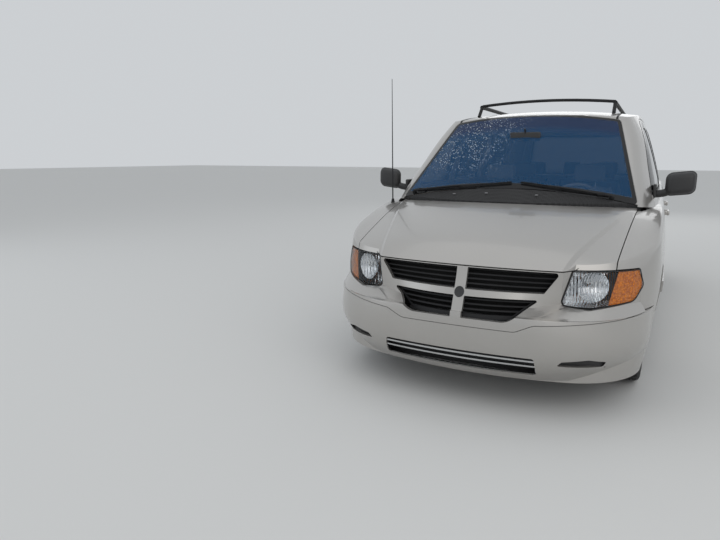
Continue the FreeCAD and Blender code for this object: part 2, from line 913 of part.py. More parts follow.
tail_zone = block(-1100, 1100, rear_seam, length + 60, sill, 615)
rear_base = loft(rear_sections, lower_shape, 0).cut(loft(rear_sections, lower_shape, skin))
ledge = loft(ledge_sections, lower_shape, 0, True).cut(loft(ledge_sections, lower_shape, skin, True))
rear_bumper = rear_base.common(tail_zone).fuse(ledge.common(tail_zone))
keep("rear_bumper", rear_bumper)

lamp_box = front_prism(tail_lamp_outline, tail_lamp_front, length + 200)
lamp_low = low_skin.common(lamp_box).cut(left_lower(57)).cut(left_upper(42))
lamp_top = top_skin.common(lamp_box).cut(left_upper(42)).cut(left_lower(57))
rear_lamp = max(lamp_low.fuse(lamp_top).Solids, key=lambda part: part.Volume)
keep("tail_lamps", both(rear_lamp))

# Floor, rear wheel houses and rails

floor_top = size("floor_top")
floor_bottom = floor_top - size("floor_thickness")
floor_end = length - 130
floor_fit = lower_body(size("lower_wall") + seat)
tub_inner = 640
tub_skin = 10
house_radius = 420
house_skin = 8
house_x = 489
floor = floor_fit.common(block(-1100, 1100, 1300, floor_end, floor_bottom, floor_top))
for sign in (1, -1):
    x0, x1 = sorted((sign * (house_x - 4 - seat), sign * 1100))
    floor = floor.cut(drum(house_radius + house_skin + seat, x0, x1, front_axle, tyre_radius))
tub_zone = block(-1100, 1100, 1300, floor_end, floor_bottom - 20, 1300)
for sign in (1, -1):
    x0, x1 = sorted((sign * (tub_inner + tub_skin), sign * 1100))
    floor = floor.cut(drum(arch_radius + 1, x0, x1, rear_axle, tyre_radius))
    a0, a1 = sorted((sign * tub_inner, sign * 1100))
    tub = drum(arch_radius + 1 + tub_skin, a0, a1, rear_axle, tyre_radius)
    tub = tub.cut(drum(arch_radius + 1, x0, x1, rear_axle, tyre_radius))
    tub = tub.common(floor_fit.common(block(-1100, 1100, 3500, 4500, floor_bottom, 900)))
    floor = floor.fuse(tub)
rail_x = 430
rail_w = size("rail_width")
rail_h = size("rail_height")
for sign in (1, -1):
    x0 = sign * rail_x - rail_w / 2
    for y0, y1, drop in ((1300, 3900, rail_h), (3900, 4200, rail_h / 2), (4200, floor_end, rail_h)):
        floor = floor.fuse(block(x0, x0 + rail_w, y0, y1, floor_bottom - drop, floor_bottom + 5))
for y in (1420, 2480, 3500, 4600):
    floor = floor.fuse(block(-rail_x, rail_x, y, y + 60, floor_bottom - 60, floor_bottom + 5))
sill_reach = 860
for y in (1700, 3000):
    for sign in (1, -1):
        x0, x1 = sorted((sign * rail_x, sign * sill_reach))
        floor = floor.fuse(block(x0, x1, y, y + 60, floor_bottom - 60, floor_bottom + 5))
back_panel = lower_body(skin + seat).common(block(-1100, 1100, rear_seam, length, floor_bottom, 612))
floor = floor.fuse(back_panel.cut(lower_body(size("lower_wall") + 10)))
keep("floor_pan", floor)

# Engine bay: bulkhead, inner aprons, strut towers, rails and radiator frame

wall_fit = lower_body(skin + 4).common(nose_zone).cut(above(lower_crest, -skin - 30))
bulkhead_plate = block(-900, 900, 1262, 1292, floor_bottom - 90, 1006)
aprons = []
for sign in (1, -1):
    x0, x1 = sorted((sign * 465, sign * 489))
    aprons.append(block(x0, x1, 300, 1270, 420, 900))
    x0, x1 = sorted((sign * 405, sign * 465))
    aprons.append(block(x0, x1, 260, 1300, 400, 520))
    tower = Part.makeCylinder(95, 40, vec(sign * 618, front_axle, 862))
    x0, x1 = sorted((sign * 470, sign * 620))
    shelf_plate = block(x0, x1, front_axle - 110, front_axle + 130, 880, 902)
    aprons.append(tower)
    aprons.append(shelf_plate)
aprons.append(block(-489, 489, 262, 300, 700, 740))
aprons.append(block(-700, 700, 262, 300, 300, 340))
for x, top in ((-700, 560), (-360, 740), (320, 740), (660, 560)):
    aprons.append(block(x, x + 40, 262, 300, 300, top))
aprons.append(block(-489, 489, 264, 298, 430, 470))
bay = bulkhead_plate.multiFuse(aprons).common(wall_fit)
bay = bay.fuse(block(-870, 870, 1290, 1300, floor_bottom, 1006).common(floor_fit))
for sign in (1, -1):
    x0, x1 = sorted((sign * house_x, sign * 1100))
    hollow = drum(house_radius, x0, x1, front_axle, tyre_radius)
    house = drum(house_radius + house_skin, x0 - 4, x1 + 4, front_axle, tyre_radius).cut(hollow)
    house = house.common(wall_fit).common(block(x0 - 4, x1 + 4, 500, 1440, 300, 900))
    house = house.cut(block(-1100, 1100, side_front - seam, 1440, 300, 900).cut(floor_fit))
    bay = bay.cut(hollow).fuse(house)
    strut_hole = Part.makeCylinder(85, 162, vec(sign * 618, front_axle, 700))
    bay = bay.cut(strut_hole)
    tube = Part.makeCylinder(93, 100, vec(sign * 618, front_axle, 765)).cut(strut_hole)
    bay = bay.fuse(tube)
keep("engine_bay", bay)
keep("radiator", [block(-316, 316, 268, 292, 471, 699)])


def bound(kind, label, at, sizes_by_property, turn=None):
    item = doc.addObject(kind, label)
    for prop, formula in sizes_by_property.items():
        item.setExpression(prop, formula)
    if turn:
        item.Placement = FreeCAD.Placement(vec(0, 0, 0), FreeCAD.Rotation(vec(*turn[0]), turn[1]))
    for axis, formula in zip("xyz", at):
        item.setExpression("Placement.Base." + axis, formula)
    return item


def box(label, at, dims):
    return bound("Part::Box", label, at, dict(zip(("Length", "Width", "Height"), dims)))


across = ((0, 1, 0), 90)
along = ((1, 0, 0), -90)


def rod(label, at, radius, run, turn=None):
    return bound("Part::Cylinder", label, at, {"Radius": radius, "Height": run}, turn)


def gather(label, items, kind="Part::MultiFuse"):
    node = doc.addObject(kind, label.title().replace("_", ""))
    if kind == "Part::MultiFuse":
        node.Shapes = items
    else:
        node.Links = items
    node.Label = label
    node.setExpression("Placement.Base.y", "-Sizes.length / 2")
    nodes.append(node)
    return node


def alone(label, item):
    item.Label = label
    nodes.append(item)
    return item


alone("engine", box("Engine", (
    "-Sizes.engine_width / 2",
    "Sizes.front_axle + 85 - Sizes.engine_length - Sizes.length / 2",
    "Sizes.engine_bottom",
), ("Sizes.engine_width", "Sizes.engine_length", "Sizes.engine_height")))
alone("fuel_tank", box("Tank", (
    "-175 - Sizes.tank_width / 2",
    "Sizes.door_split + 60 - Sizes.length / 2",
    "Sizes.floor_top - Sizes.floor_thickness - Sizes.seat_gap - Sizes.tank_height",
), ("Sizes.tank_width", "Sizes.tank_length", "Sizes.tank_height")))

# Front subframe with its lower arms

arm_y = "Sizes.front_axle"
subframe = [
    box("CrossFront", ("-440", arm_y + " - 620", "200"), ("880", "70", "44")),
    box("CrossRear", ("-440", arm_y + " + 60", "200"), ("880", "140", "44")),
    box("SideLeft", ("380", arm_y + " - 620", "200"), ("60", "820", "44")),
    box("SideRight", ("-440", arm_y + " - 620", "200"), ("60", "820", "44")),
    box("ArmLeft", ("430", arm_y + " - 34", "196"), ("250", "68", "26")),
    box("ArmRight", ("-680", arm_y + " - 34", "196"), ("250", "68", "26")),
    box("PostLeft", ("410", arm_y + " + 70", "240"), ("50", "60", "159.7")),
    box("PostRight", ("-460", arm_y + " + 70", "240"), ("50", "60", "159.7")),
    box("PostFrontLeft", ("410", arm_y + " - 610", "240"), ("50", "50", "159.7")),
    box("PostFrontRight", ("-460", arm_y + " - 610", "240"), ("50", "50", "159.7")),
]
gather("front_subframe", subframe)

# Knuckles with their struts, turning about the inclined kingpin line

low_x, low_z = size("kingpin_low_x"), size("kingpin_low_z")
top_x, top_z = size("kingpin_top_x"), size("kingpin_top_z")
pin_low = vec(low_x, front_axle, low_z)
pin_top = vec(top_x, front_axle, top_z)
pin_dir = (pin_top - pin_low).normalize()


def on_pin(z):
    return pin_low + pin_dir * ((z - low_z) / pin_dir.z)


def rod_between(a, b, radius):
    return Part.makeCylinder(radius, (b - a).Length, a, b - a)


wheel_x = size("track_front") / 2
disc_in = -84
disc_out = disc_in + size("disc_thickness")
disc_radius = size("disc_radius")
hub = drum(44, low_x - 45, wheel_x + disc_in - 5, front_axle, tyre_radius)
knuckle = hub.fuse(rod_between(on_pin(222), on_pin(430), 22))
knuckle = knuckle.fuse(rod_between(on_pin(420), on_pin(640), 30))
knuckle = knuckle.fuse(rod_between(on_pin(630), on_pin(858), 13))
knuckle = knuckle.fuse(Part.makeCylinder(66, 12, on_pin(735), pin_dir))
disc_inner, disc_outer = wheel_x + disc_in, wheel_x + disc_out
knuckle = knuckle.cut(drum(disc_radius + 5, disc_inner - 5, wheel_x + 60, front_axle, tyre_radius))
caliper = block(disc_inner - 26, disc_outer + 20, front_axle + 92, front_axle + 155,
                tyre_radius - 60, tyre_radius + 60)
caliper = caliper.cut(drum(disc_radius + 5, disc_inner - 5, disc_outer + 5, front_axle, tyre_radius))
bracket = block(low_x - 30, disc_inner - 10, front_axle, front_axle + 130, tyre_radius - 24, tyre_radius + 24)
knuckle = knuckle.fuse(bracket).fuse(caliper)
keep("knuckle_left", knuckle)
keep("knuckle_right", flipped(knuckle))

# Wheels: each tyre is a turned body, each rim a barrel with a slotted disc

tyre_width = size("tyre_width")


def tyre(centre_x, centre_y):
    half = tyre_width / 2
    bead = size("rim_radius") + size("rim_flange") + seat
    profile = (
        (half - 22, bead),
        (half - 8, bead + 14),
        (half, tyre_radius - 78),
        (half - 6, tyre_radius - 30),
        (half - 24, tyre_radius - 7),
        (half - 60, tyre_radius),
    )
    points = [vec(x, 0, r) for x, r in profile] + [vec(-x, 0, r) for x, r in reversed(profile)]
    face = Part.Face(Part.makePolygon(points + [points[0]]))
    ring = face.revolve(vec(0, 0, 0), vec(1, 0, 0), 360)
    ring.translate(vec(centre_x, centre_y, tyre_radius))
    return ring


def rim(centre_x, centre_y, outward):
    half = size("rim_width") / 2
    r = size("rim_radius")
    t = size("rim_thickness")
    lip = r + size("rim_flange")
    profile = (
        (-half, lip), (-half, r - 3), (-half + 16, r - 12), (half - 30, r - 20),
        (half - 10, r - 6), (half - 10, lip), (half, lip), (half, r - 10), (half - 22, r - 34),
        (half - 34, 118), (half - 18, 66), (half - 14, 30), (half - 16, 0.5),
        (half - 40, 0.5), (half - 40, 56), (half - 52, 112), (half - 44, r - 34),
        (half - 40, r - 20 - t), (-half + 20, r - 12 - t), (-half + 4, r - 3 - t), (-half - 4, r - 3),
        (-half - 4, lip),
    )
    points = [vec(x, 0, z) for x, z in profile]
    face = Part.Face(Part.makePolygon(points + [points[0]]))
    wheel = face.revolve(vec(0, 0, 0), vec(1, 0, 0), 360)
    slots = []
    for k in range(9):
        slot = plan_prism(((-200, -13, 0), (200, -13, 0), (200, 13, 0), (-200, 13, 0)), 84, 150)
        slot.rotate(vec(0, 0, 0), vec(1, 0, 0), 40 * k)
        slots.append(slot)
    wheel = wheel.cut(slots[0].multiFuse(slots[1:]))
    wheel = wheel.fuse(drum(58, disc_in, half - 30, 0, 0)).fuse(drum(disc_radius, disc_in, disc_out, 0, 0))
    if outward < 0:
        wheel = flipped(wheel)
    wheel.translate(vec(centre_x, centre_y, tyre_radius))
    return wheel


for name, x, y in (("front", wheel_x, front_axle), ("rear", size("track_rear") / 2, rear_axle)):
    for hand, sign in (("left", 1), ("right", -1)):
        keep("tyre_%s_%s" % (name, hand), tyre(sign * x, y))
        keep("rim_%s_%s" % (name, hand), rim(sign * x, y, sign))

# Rear beam axle with its hubs, springs and dampers

rear_x = size("track_rear") / 2
beam = rod_between(vec(-600, rear_axle + 40, 285), vec(600, rear_axle + 40, 285), size("axle_tube_radius"))
for sign in (1, -1):
    x0, x1 = sorted((sign * 560, sign * 584))
    beam = beam.fuse(block(x0, x1, rear_axle - 520, rear_axle + 90, 270, 330))
    x0, x1 = sorted((sign * 580, sign * (rear_x + disc_in - 5)))
    beam = beam.fuse(drum(38, x0, x1, rear_axle, tyre_radius))
    x0, x1 = sorted((sign * 560, sign * 600))
    beam = beam.fuse(block(x0, x1, rear_axle - 60, rear_axle + 90, 280, 385))
    beam = beam.fuse(Part.makeCylinder(52, floor_bottom - seat - 300, vec(sign * 520, rear_axle + 20, 300)))
    damper_x = sign * 545
    beam = beam.fuse(rod_between(vec(damper_x, rear_axle + 80, 300), vec(damper_x, rear_axle + 110, 378), 22))
keep("rear_axle", beam)

# Exhaust, hung from the floor's cross members

pipe_x, pipe_z = 120, 255
silencer_x, silencer_z = 220, 215
pipe_r = size("pipe_radius")
silencer_y = 4240
silencer_end = silencer_y + size("silencer_length")
silencer_r = size("silencer_radius")
silencer_start = vec(silencer_x, silencer_y, silencer_z)
pipe = rod_between(vec(pipe_x, 1350, pipe_z), vec(pipe_x, 3560, pipe_z), pipe_r)
exhaust = pipe.multiFuse([
    rod_between(vec(pipe_x, 2000, pipe_z), vec(pipe_x, 2350, pipe_z), 62),
    rod_between(vec(pipe_x, 3555, pipe_z), vec(silencer_x, 3700, silencer_z), pipe_r),
    rod_between(vec(silencer_x, 3695, silencer_z), vec(silencer_x, silencer_y + 20, silencer_z), pipe_r),
    rod_between(silencer_start, vec(silencer_x, silencer_end, silencer_z), silencer_r),
    rod_between(vec(silencer_x, silencer_end - 10, silencer_z), vec(silencer_x, length - 110, 160), 24),
    block(pipe_x - 6, pipe_x + 6, 2500, 2520, pipe_z, floor_bottom - 60 - seat),
    block(pipe_x - 6, pipe_x + 6, 3520, 3540, pipe_z, floor_bottom - 60 - seat),
    block(silencer_x - 6, silencer_x + 6, 4620, 4640, silencer_z, floor_bottom - 60 - seat),
])
keep("exhaust", exhaust)

# Dashboard, steering and seats

cabin = lower_body(size("lower_wall") + 6).fuse(upper_body(size("upper_wall") + 8))
dash_half = 812
dash_front = 1300 + seat
dash_outline = (
    (dash_front, 990, 10),
    (dash_front, 780, 30),
    (1480, 560, 30),
    (1600, 560, 30),
    (1640, 860, 60),
    (1600, 1040, 40),
    (1420, 1066, 60),
)
dash = side_prism(dash_outline, -dash_half, dash_half).common(cabin)
keep("dashboard", dash)

wheel_centre = vec(370, 1790, 985)
column_tilt = math.radians(24)
column_dir = vec(0, -math.cos(column_tilt), -math.sin(column_tilt))
grip_reach = size("wheel_rim_radius")
grip = Part.makeTorus(grip_reach, size("wheel_grip_radius"), wheel_centre, column_dir)
boss = Part.makeCylinder(62, 34, wheel_centre - column_dir * 8, column_dir)
shaft = Part.makeCylinder(size("column_radius"), 92, wheel_centre, column_dir)
spoke_start = wheel_centre + vec(5 - grip_reach, 0, 0)
spoke_a = Part.makeCylinder(13, grip_reach * 2 - 10, spoke_start, vec(1, 0, 0))
side_up = vec(0, math.sin(column_tilt), -math.cos(column_tilt))
spoke_b = Part.makeCylinder(13, grip_reach - 6, wheel_centre, side_up)
keep("steering_wheel", grip.multiFuse([boss, shaft, spoke_a, spoke_b]))
shroud = Part.makeCylinder(46, 130, wheel_centre + column_dir * 97, column_dir)
keep("steering_column", shroud.cut(side_prism(dash_outline, 0, 870, seat)))

Seat = namedtuple("Seat", "label x y width")
seat_h = floor_top
seats = (
    Seat("front_seats", 375, 2060, size("seat_width")),
    Seat("middle_seats", 375, 3060, size("seat_width")),
)


def seat_shape(x, y, width):
    base = size("seat_base_height")
    top = size("seat_back_height")
    crown = size("seat_head_height")
    cushion_outline = ((y - 250, base - 120, 40), (y + 250, base - 150, 20), (y + 270, base - 30, 30),
                       (y - 250, base, 50))
    back_outline = ((y + 190, base - 40, 20), (y + 290, base - 60, 20), (y + 420, top, 40),
                    (y + 320, top, 40))
    head_outline = ((y + 338, top + 25, 25), (y + 418, top + 25, 25), (y + 440, crown, 35),
                    (y + 370, crown, 35))
    cushion = side_prism(cushion_outline, x - width / 2, x + width / 2)
    back = side_prism(back_outline, x - width / 2 + 10, x + width / 2 - 10)
    head = side_prism(head_outline, x - 130, x + 130)
    posts = [block(x + d - 6, x + d + 6, y + 372, y + 384, top - 20, top + 60) for d in (-60, 60)]
    stand = block(x - 190, x + 190, y - 160, y + 200, seat_h + seat, base - 100)
    return cushion.multiFuse([back, head, stand] + posts)


for s in seats:
    keep(s.label, both(seat_shape(s.x, s.y, s.width)))
keep("rear_bench", seat_shape(0, 3960, 1180))

# Mirrors, wipers, rack and antenna

mirror_outline = (
    (1398, 1112, 30),
    (1478, 1112, 30),
    (1490, 1274, 26),
    (1422, 1274, 34),
)
mirror_arm_outline = (
    (1448, 1096, 12),
    (1502, 1096, 12),
    (1502, 1146, 20),
    (1448, 1146, 20),
)
mirror = side_prism(mirror_outline, 938, 1118).fuse(side_prism(mirror_arm_outline, 860, 960))
mirror = mirror.cut(front_door).cut(front_pane)
mirror = max(mirror.Solids, key=lambda part: part.Volume)
keep("mirror_left", mirror)
keep("mirror_right", flipped(mirror))

# Wipers follow the glass: a pivot on the cowl, an arm and a blade each

blade_shell = upper_body(-16).cut(upper_body(-4)).common(cowl_zone)
arm_shell = upper_body(-28).cut(upper_body(-15)).common(cowl_zone)
pivot_shell = upper_body(-28).cut(upper_body(-seat)).common(cowl_zone)


def strip(x0, z0, x1, z1, width):
    run = math.hypot(x1 - x0, z1 - z0)
    nx, nz = -(z1 - z0) / run * width / 2, (x1 - x0) / run * width / 2
    return front_prism((
        (x0 - nx, z0 - nz, 0), (x1 - nx, z1 - nz, 0), (x1 + nx, z1 + nz, 0), (x0 + nx, z0 + nz, 0),
    ), 800, 1500)


def wiper(pivot_x, pivot_z, mid_x, mid_z, tip_x, tip_z, root_x, root_z):
    pivot = Part.makeCylinder(17, 700, vec(pivot_x, 800, pivot_z), vec(0, 1, 0))
    arm = arm_shell.common(strip(pivot_x, pivot_z, mid_x, mid_z, 18))
    blade = blade_shell.common(strip(root_x, root_z, tip_x, tip_z, 14))
    return pivot_shell.common(pivot).fuse(arm).fuse(blade).cut(hood_way)


hood_way = plan_prism(hood_outline, 900, 1300, gap + 1)
keep("wipers", [
    wiper(-712, 1098, -330, 1146, 20, 1184, -700, 1112),
    wiper(645, 1100, 330, 1148, 75, 1186, 630, 1114),
])

rail_z = height + 36
bar_z = height + 46
bar_rise = 28
bar_radius = size("rack_bar_radius")
rail_radius = size("rack_rail_radius")
foot_radius = rail_radius - 2
rack_x = 540
rack_front, rack_rear = 2310, 4390
rack = []
for sign in (1, -1):
    rods = (
        (rack_front, rail_z, rack_rear, rail_z - 14, rail_radius),
        (rack_front - 75, height - 50, rack_front + 18, rail_z + 4, foot_radius),
        (rack_rear + 75, height - 80, rack_rear - 18, rail_z - 10, foot_radius),
        (3400, height - 50, 3400, rail_z, foot_radius),
    )
    for y0, z0, y1, z1, radius in rods:
        rack.append(rod_between(vec(sign * rack_x, y0, z0), vec(sign * rack_x, y1, z1), radius))
bar_arc = (rack_x ** 2 + bar_rise ** 2) / (2 * bar_rise)
bar_turn = math.degrees(math.asin(rack_x / bar_arc))
for y in (rack_front + 30, 4060):
    disc = Part.Face(Part.Wire(Part.makeCircle(bar_radius, vec(0, y, bar_z + bar_rise), vec(1, 0, 0))))
    centre = vec(0, y, bar_z + bar_rise - bar_arc)
    disc.rotate(centre, vec(0, 1, 0), -bar_turn)
    rack.append(disc.revolve(centre, vec(0, 1, 0), 2 * bar_turn))
rack_set = rack[0].multiFuse(rack[1:])
rack_set = rack_set.cut(upper_body(-seat).common(block(-1100, 1100, 1900, 4800, 1500, 1900)))
keep("roof_rack", rack_set)

mast_foot = vec(-872, 1148, 990)
mast = Part.makeCone(5, 2, size("antenna_length"), mast_foot, vec(-0.02, 0, 1))
foot = Part.makeCone(20, 9, 60, mast_foot)
antenna = mast.fuse(foot).cut(flipped(fender)).cut(flipped(side))
antenna = antenna.cut(lower_body(-seat).common(block(-1100, 0, 1150, 1400, 900, 1200)))
keep("antenna", max(antenna.Solids, key=lambda s: s.Volume))

# Check and write the sub-parts

doc.recompute()
os.makedirs("parts", exist_ok=True)
for item in doc.Objects:
    if "Invalid" in item.State or "Error" in item.State:
        raise RuntimeError("object failed: " + item.Label)
for node in nodes:
    shape = node.Shape
    if shape.isNull() or not shape.isValid() or not shape.Solids:
        raise RuntimeError("shape failed: " + node.Label)
    shape.exportStep("parts/" + node.Label + ".step")
    print(node.Label, len(shape.Solids), round(shape.Volume / 1e6, 2))
print(len(nodes), "sub-parts")
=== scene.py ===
import bpy
import bmesh
import math
from mathutils import Matrix, Vector
from mathutils.bvhtree import BVHTree


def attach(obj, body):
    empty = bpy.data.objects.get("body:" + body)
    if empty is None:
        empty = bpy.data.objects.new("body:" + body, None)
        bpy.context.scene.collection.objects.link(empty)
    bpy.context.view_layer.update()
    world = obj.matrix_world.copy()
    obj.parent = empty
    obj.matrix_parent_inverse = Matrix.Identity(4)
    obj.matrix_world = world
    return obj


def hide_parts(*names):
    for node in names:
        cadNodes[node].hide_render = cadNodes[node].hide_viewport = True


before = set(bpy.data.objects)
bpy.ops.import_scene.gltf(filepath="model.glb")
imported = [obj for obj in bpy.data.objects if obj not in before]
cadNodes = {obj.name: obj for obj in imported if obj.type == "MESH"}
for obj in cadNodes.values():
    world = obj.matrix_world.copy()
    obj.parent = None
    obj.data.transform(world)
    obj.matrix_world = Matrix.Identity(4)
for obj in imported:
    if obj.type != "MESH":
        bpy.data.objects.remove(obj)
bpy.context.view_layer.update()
print("frame loaded:", len(cadNodes), "nodes")


# shader tools
class Signal:  # one shader value; operators add the Math nodes
    def __init__(self, finish, socket):
        self.finish = finish
        self.socket = socket

    def join(self, operation, other, swapped=False):
        pair = (other, self) if swapped else (self, other)
        return self.finish.node("ShaderNodeMath", {"operation": operation}, {0: pair[0], 1: pair[1]})

    def __add__(self, other):
        return self.join("ADD", other)

    def __radd__(self, other):
        return self.join("ADD", other)

    def __sub__(self, other):
        return self.join("SUBTRACT", other)

    def __rsub__(self, other):
        return self.join("SUBTRACT", other, True)

    def __mul__(self, other):
        return self.join("MULTIPLY", other)

    def __rmul__(self, other):
        return self.join("MULTIPLY", other)

    def __truediv__(self, other):
        return self.join("DIVIDE", other)

    def __rtruediv__(self, other):
        return self.join("DIVIDE", other, True)

    def __pow__(self, other):
        return self.join("POWER", other)

    def __abs__(self):
        return self.join("ABSOLUTE", 0)

    def low(self, other):
        return self.join("MINIMUM", other)

    def high(self, other):
        return self.join("MAXIMUM", other)

    def sine(self):
        return self.join("SINE", 0)

    def ranged(self, low, high):  # 0 to 1 becomes low to high
        return self * (high - low) + low

    def above(self, edge, soft):  # 0 below the edge, 1 above it
        return self.finish.node("ShaderNodeMapRange", {"interpolation_type": "SMOOTHSTEP"},
                                {"Value": self, "From Min": edge - soft, "From Max": edge + soft})


class Finish:  # one material and its nodes
    def __init__(self, name, **constants):
        self.material = bpy.data.materials.new(name)
        self.material.use_nodes = True
        self.tree = self.material.node_tree
        self.shader = self.tree.nodes["Principled BSDF"]
        self.place = self.node("ShaderNodeTexCoord", {}, {}, "Object")
        self.axes = None
        self.set(**constants)

    def node(self, kind, settings, inputs, output=0):
        made = self.tree.nodes.new(kind)
        for key, value in settings.items():
            setattr(made, key, value)
        for key, value in inputs.items():
            self.feed(made.inputs[key], value)
        return Signal(self, made.outputs[output])

    def feed(self, socket, value):
        if isinstance(value, Signal):
            self.tree.links.new(value.socket, socket)
        elif socket.type == "RGBA":
            socket.default_value = (*value[:3], 1)
        else:
            socket.default_value = value

    def set(self, **inputs):
        for key, value in inputs.items():
            self.feed(self.shader.inputs[key.replace("_", " ")], value)

    def xyz(self):
        if not self.axes:
            split = self.node("ShaderNodeSeparateXYZ", {}, {0: self.place})
            self.axes = [Signal(self, out) for out in split.socket.node.outputs]
        return self.axes

    def noise(self, scale, detail=3, rough=0.5):
        return self.node("ShaderNodeTexNoise", {},
                         {"Vector": self.place, "Scale": scale, "Detail": detail, "Roughness": rough})

    def cells(self, scale, output=0, stretch=None, mess=1.0):
        spot = self.place
        if stretch:
            spot = self.node("ShaderNodeMapping", {}, {"Vector": self.place, "Scale": stretch})
        return self.node("ShaderNodeTexVoronoi", {},
                         {"Vector": spot, "Scale": scale, "Randomness": mess}, output)

    def edgeOn(self, blend=0.5, power=4):  # near 1 where the surface is seen at a grazing angle
        return self.node("ShaderNodeLayerWeight", {}, {"Blend": blend}, 1) ** power

    def blend(self, factor, first, second):
        return self.node("ShaderNodeMix", {"data_type": "RGBA"}, {0: factor, 6: first, 7: second}, 2)

    def bump(self, height, strength, distance):
        return self.node("ShaderNodeBump", {}, {"Height": height, "Strength": strength, "Distance": distance})


print("shader tools ready")

# body finishes
paintLook = {"colour": (0.50, 0.485, 0.465), "dark": (0.43, 0.415, 0.395), "dirt": (0.36, 0.34, 0.31),
             "flake": 2600, "rough": 0.33}


def paintFinish():
    look = paintLook
    finish = Finish("silverPaint", Metallic=0.72, IOR=1.45, Coat_Weight=0.8, Coat_Roughness=0.06)
    flake = finish.cells(look["flake"], output=1)
    grain = finish.node("ShaderNodeSeparateColor", {}, {0: flake})
    drift = finish.noise(1.7, 2)
    tone = finish.blend(grain.ranged(0, 0.5) + drift * 0.5, look["dark"], look["colour"])
    height = finish.xyz()[2]
    dust = (1 - height.above(0.42, 0.22)) * finish.noise(9, 6, 0.7)
    finish.set(Base_Color=finish.blend(dust * 0.35, tone, look["dirt"]),
               Roughness=grain.ranged(look["rough"] - 0.03, look["rough"] + 0.03) + dust * 0.25,
               Normal=finish.bump(grain, 0.03, 0.0004))
    return finish.material


def plasticFinish(name, colour, rough, grainScale=900, grainDepth=0.25, gloss=0.5):
    plastic = Finish(name, Specular_IOR_Level=gloss)
    grain = plastic.cells(grainScale)
    drift = plastic.noise(5, 4)
    pale = tuple(min(1, c * 1.35 + 0.012) for c in colour)
    plastic.set(Base_Color=plastic.blend(drift, colour, pale),
                Roughness=drift.ranged(rough - 0.06, rough + 0.08),
                Normal=plastic.bump(grain, grainDepth, 0.0003))
    return plastic.material


def metalFinish(name, colour, rough, metallic=1.0, scale=60, rust=0.0):
    metal = Finish(name)
    cloud = metal.noise(scale, 6, 0.65)
    patches = metal.noise(scale / 8, 5, 0.6).above(0.56, 0.09) * rust
    dull = tuple(c * 0.62 for c in colour)
    metal.set(Base_Color=metal.blend(patches, metal.blend(cloud, dull, colour), (0.16, 0.075, 0.035)),
              Roughness=cloud.ranged(rough - 0.08, rough + 0.12) + patches * 0.25,
              Metallic=(1 - patches) * metallic,
              Normal=metal.bump(cloud, 0.18, 0.0008))
    return metal.material


def glassFinish(name, colour, alpha, gloss=0.5):
    glass = Finish(name, IOR=1.5, Specular_IOR_Level=gloss)
    smear = glass.noise(3.2, 5, 0.6).above(0.55, 0.25)
    glass.set(Base_Color=glass.blend(smear * 0.08, colour, (0.5, 0.52, 0.52)),
              Roughness=0.02 + smear * 0.03,
              Alpha=(glass.edgeOn() * 0.8 + alpha).low(1))
    return glass.material


# the windshield's outline (half width at its foot and its lean, bowed top and sill), the black printed
# edge, the tinted band at the top and the water spots on the passenger's side; its blue base colour is a
# painted reflection of the sky
shieldLook = {
    "half": 0.794, "footZ": 1.066, "lean": 0.179 / 0.560, "topZ": 1.6743, "topBow": 7.8, "sillZ": 1.1547,
    "sillBow": 7.1, "edge": 0.024, "sill": 0.034, "crown": 0.016, "band": 0.115, "alpha": 0.30,
    "blue": (0.016, 0.095, 0.230), "bandBlue": (0.006, 0.030, 0.100), "spot": (0.62, 0.66, 0.68),
    "print": (0.012, 0.012, 0.013), "spotsFromX": -0.12, "spotsFromZ": 1.24,
}


def windshieldFinish():
    look = shieldLook
    glass = Finish("windshieldGlass", IOR=1.5, Specular_IOR_Level=0.20)
    x, y, z = glass.xyz()
    side = look["half"] - (z - look["footZ"]) * look["lean"] - abs(x)
    top = look["topZ"] - x * x / look["topBow"] - z
    foot = z - look["sillZ"] + x * x / look["sillBow"]
    printed = (1 - side.above(look["edge"], 0.004)).high(1 - top.above(look["crown"], 0.003))
    printed = printed.high(1 - foot.above(look["sill"], 0.004))
    band = 1 - top.above(look["band"], 0.045)
    wet = (1 - (x - look["spotsFromX"]).above(0, 0.25)) * (z - look["spotsFromZ"]).above(0, 0.09)
    spots = (1 - glass.cells(64).above(0.24, 0.06)) * (wet * glass.noise(26, 3).above(0.47, 0.08))
    # the glass's blue is a painted reflection of the sky; the darker top band is the glass's own tint
    tone = glass.blend(band, look["blue"], look["bandBlue"])
    tone = glass.blend(spots, tone, look["spot"])
    tone = glass.blend(printed, tone, look["print"])
    glass.set(Base_Color=tone,
              Roughness=0.02 + spots * 0.4 + printed * 0.10,
              Alpha=(glass.edgeOn() * 0.8 + look["alpha"] + band * 0.35 + spots * 0.7 + printed).low(1))
    return glass.material


def tyreFinish():
    rubber = Finish("tyreRubber", Specular_IOR_Level=0.35)
    dust = rubber.noise(14, 6, 0.7)
    rubber.set(Base_Color=rubber.blend(dust * 0.5, (0.018, 0.018, 0.019), (0.075, 0.072, 0.066)),
               Roughness=dust.ranged(0.62, 0.86),
               Normal=rubber.bump(rubber.noise(420, 3), 0.25, 0.0006))
    return rubber.material


def fabricFinish(name, colour, pale, pitch=1400):
    cloth = Finish(name, Specular_IOR_Level=0.2, Sheen_Weight=0.25, Sheen_Roughness=0.5)
    x, y, z = cloth.xyz()
    warp = (x * pitch + y * 300).sine() * 0.5 + 0.5
    weft = (z * pitch + y * pitch).sine() * 0.5 + 0.5
    weave = warp * weft
    fleck = cloth.noise(260, 4)
    cloth.set(Base_Color=cloth.blend(weave * 0.6 + fleck * 0.4, colour, pale),
              Roughness=fleck.ranged(0.78, 0.95),
              Normal=cloth.bump(weave + fleck * 0.5, 0.4, 0.0008))
    return cloth.material


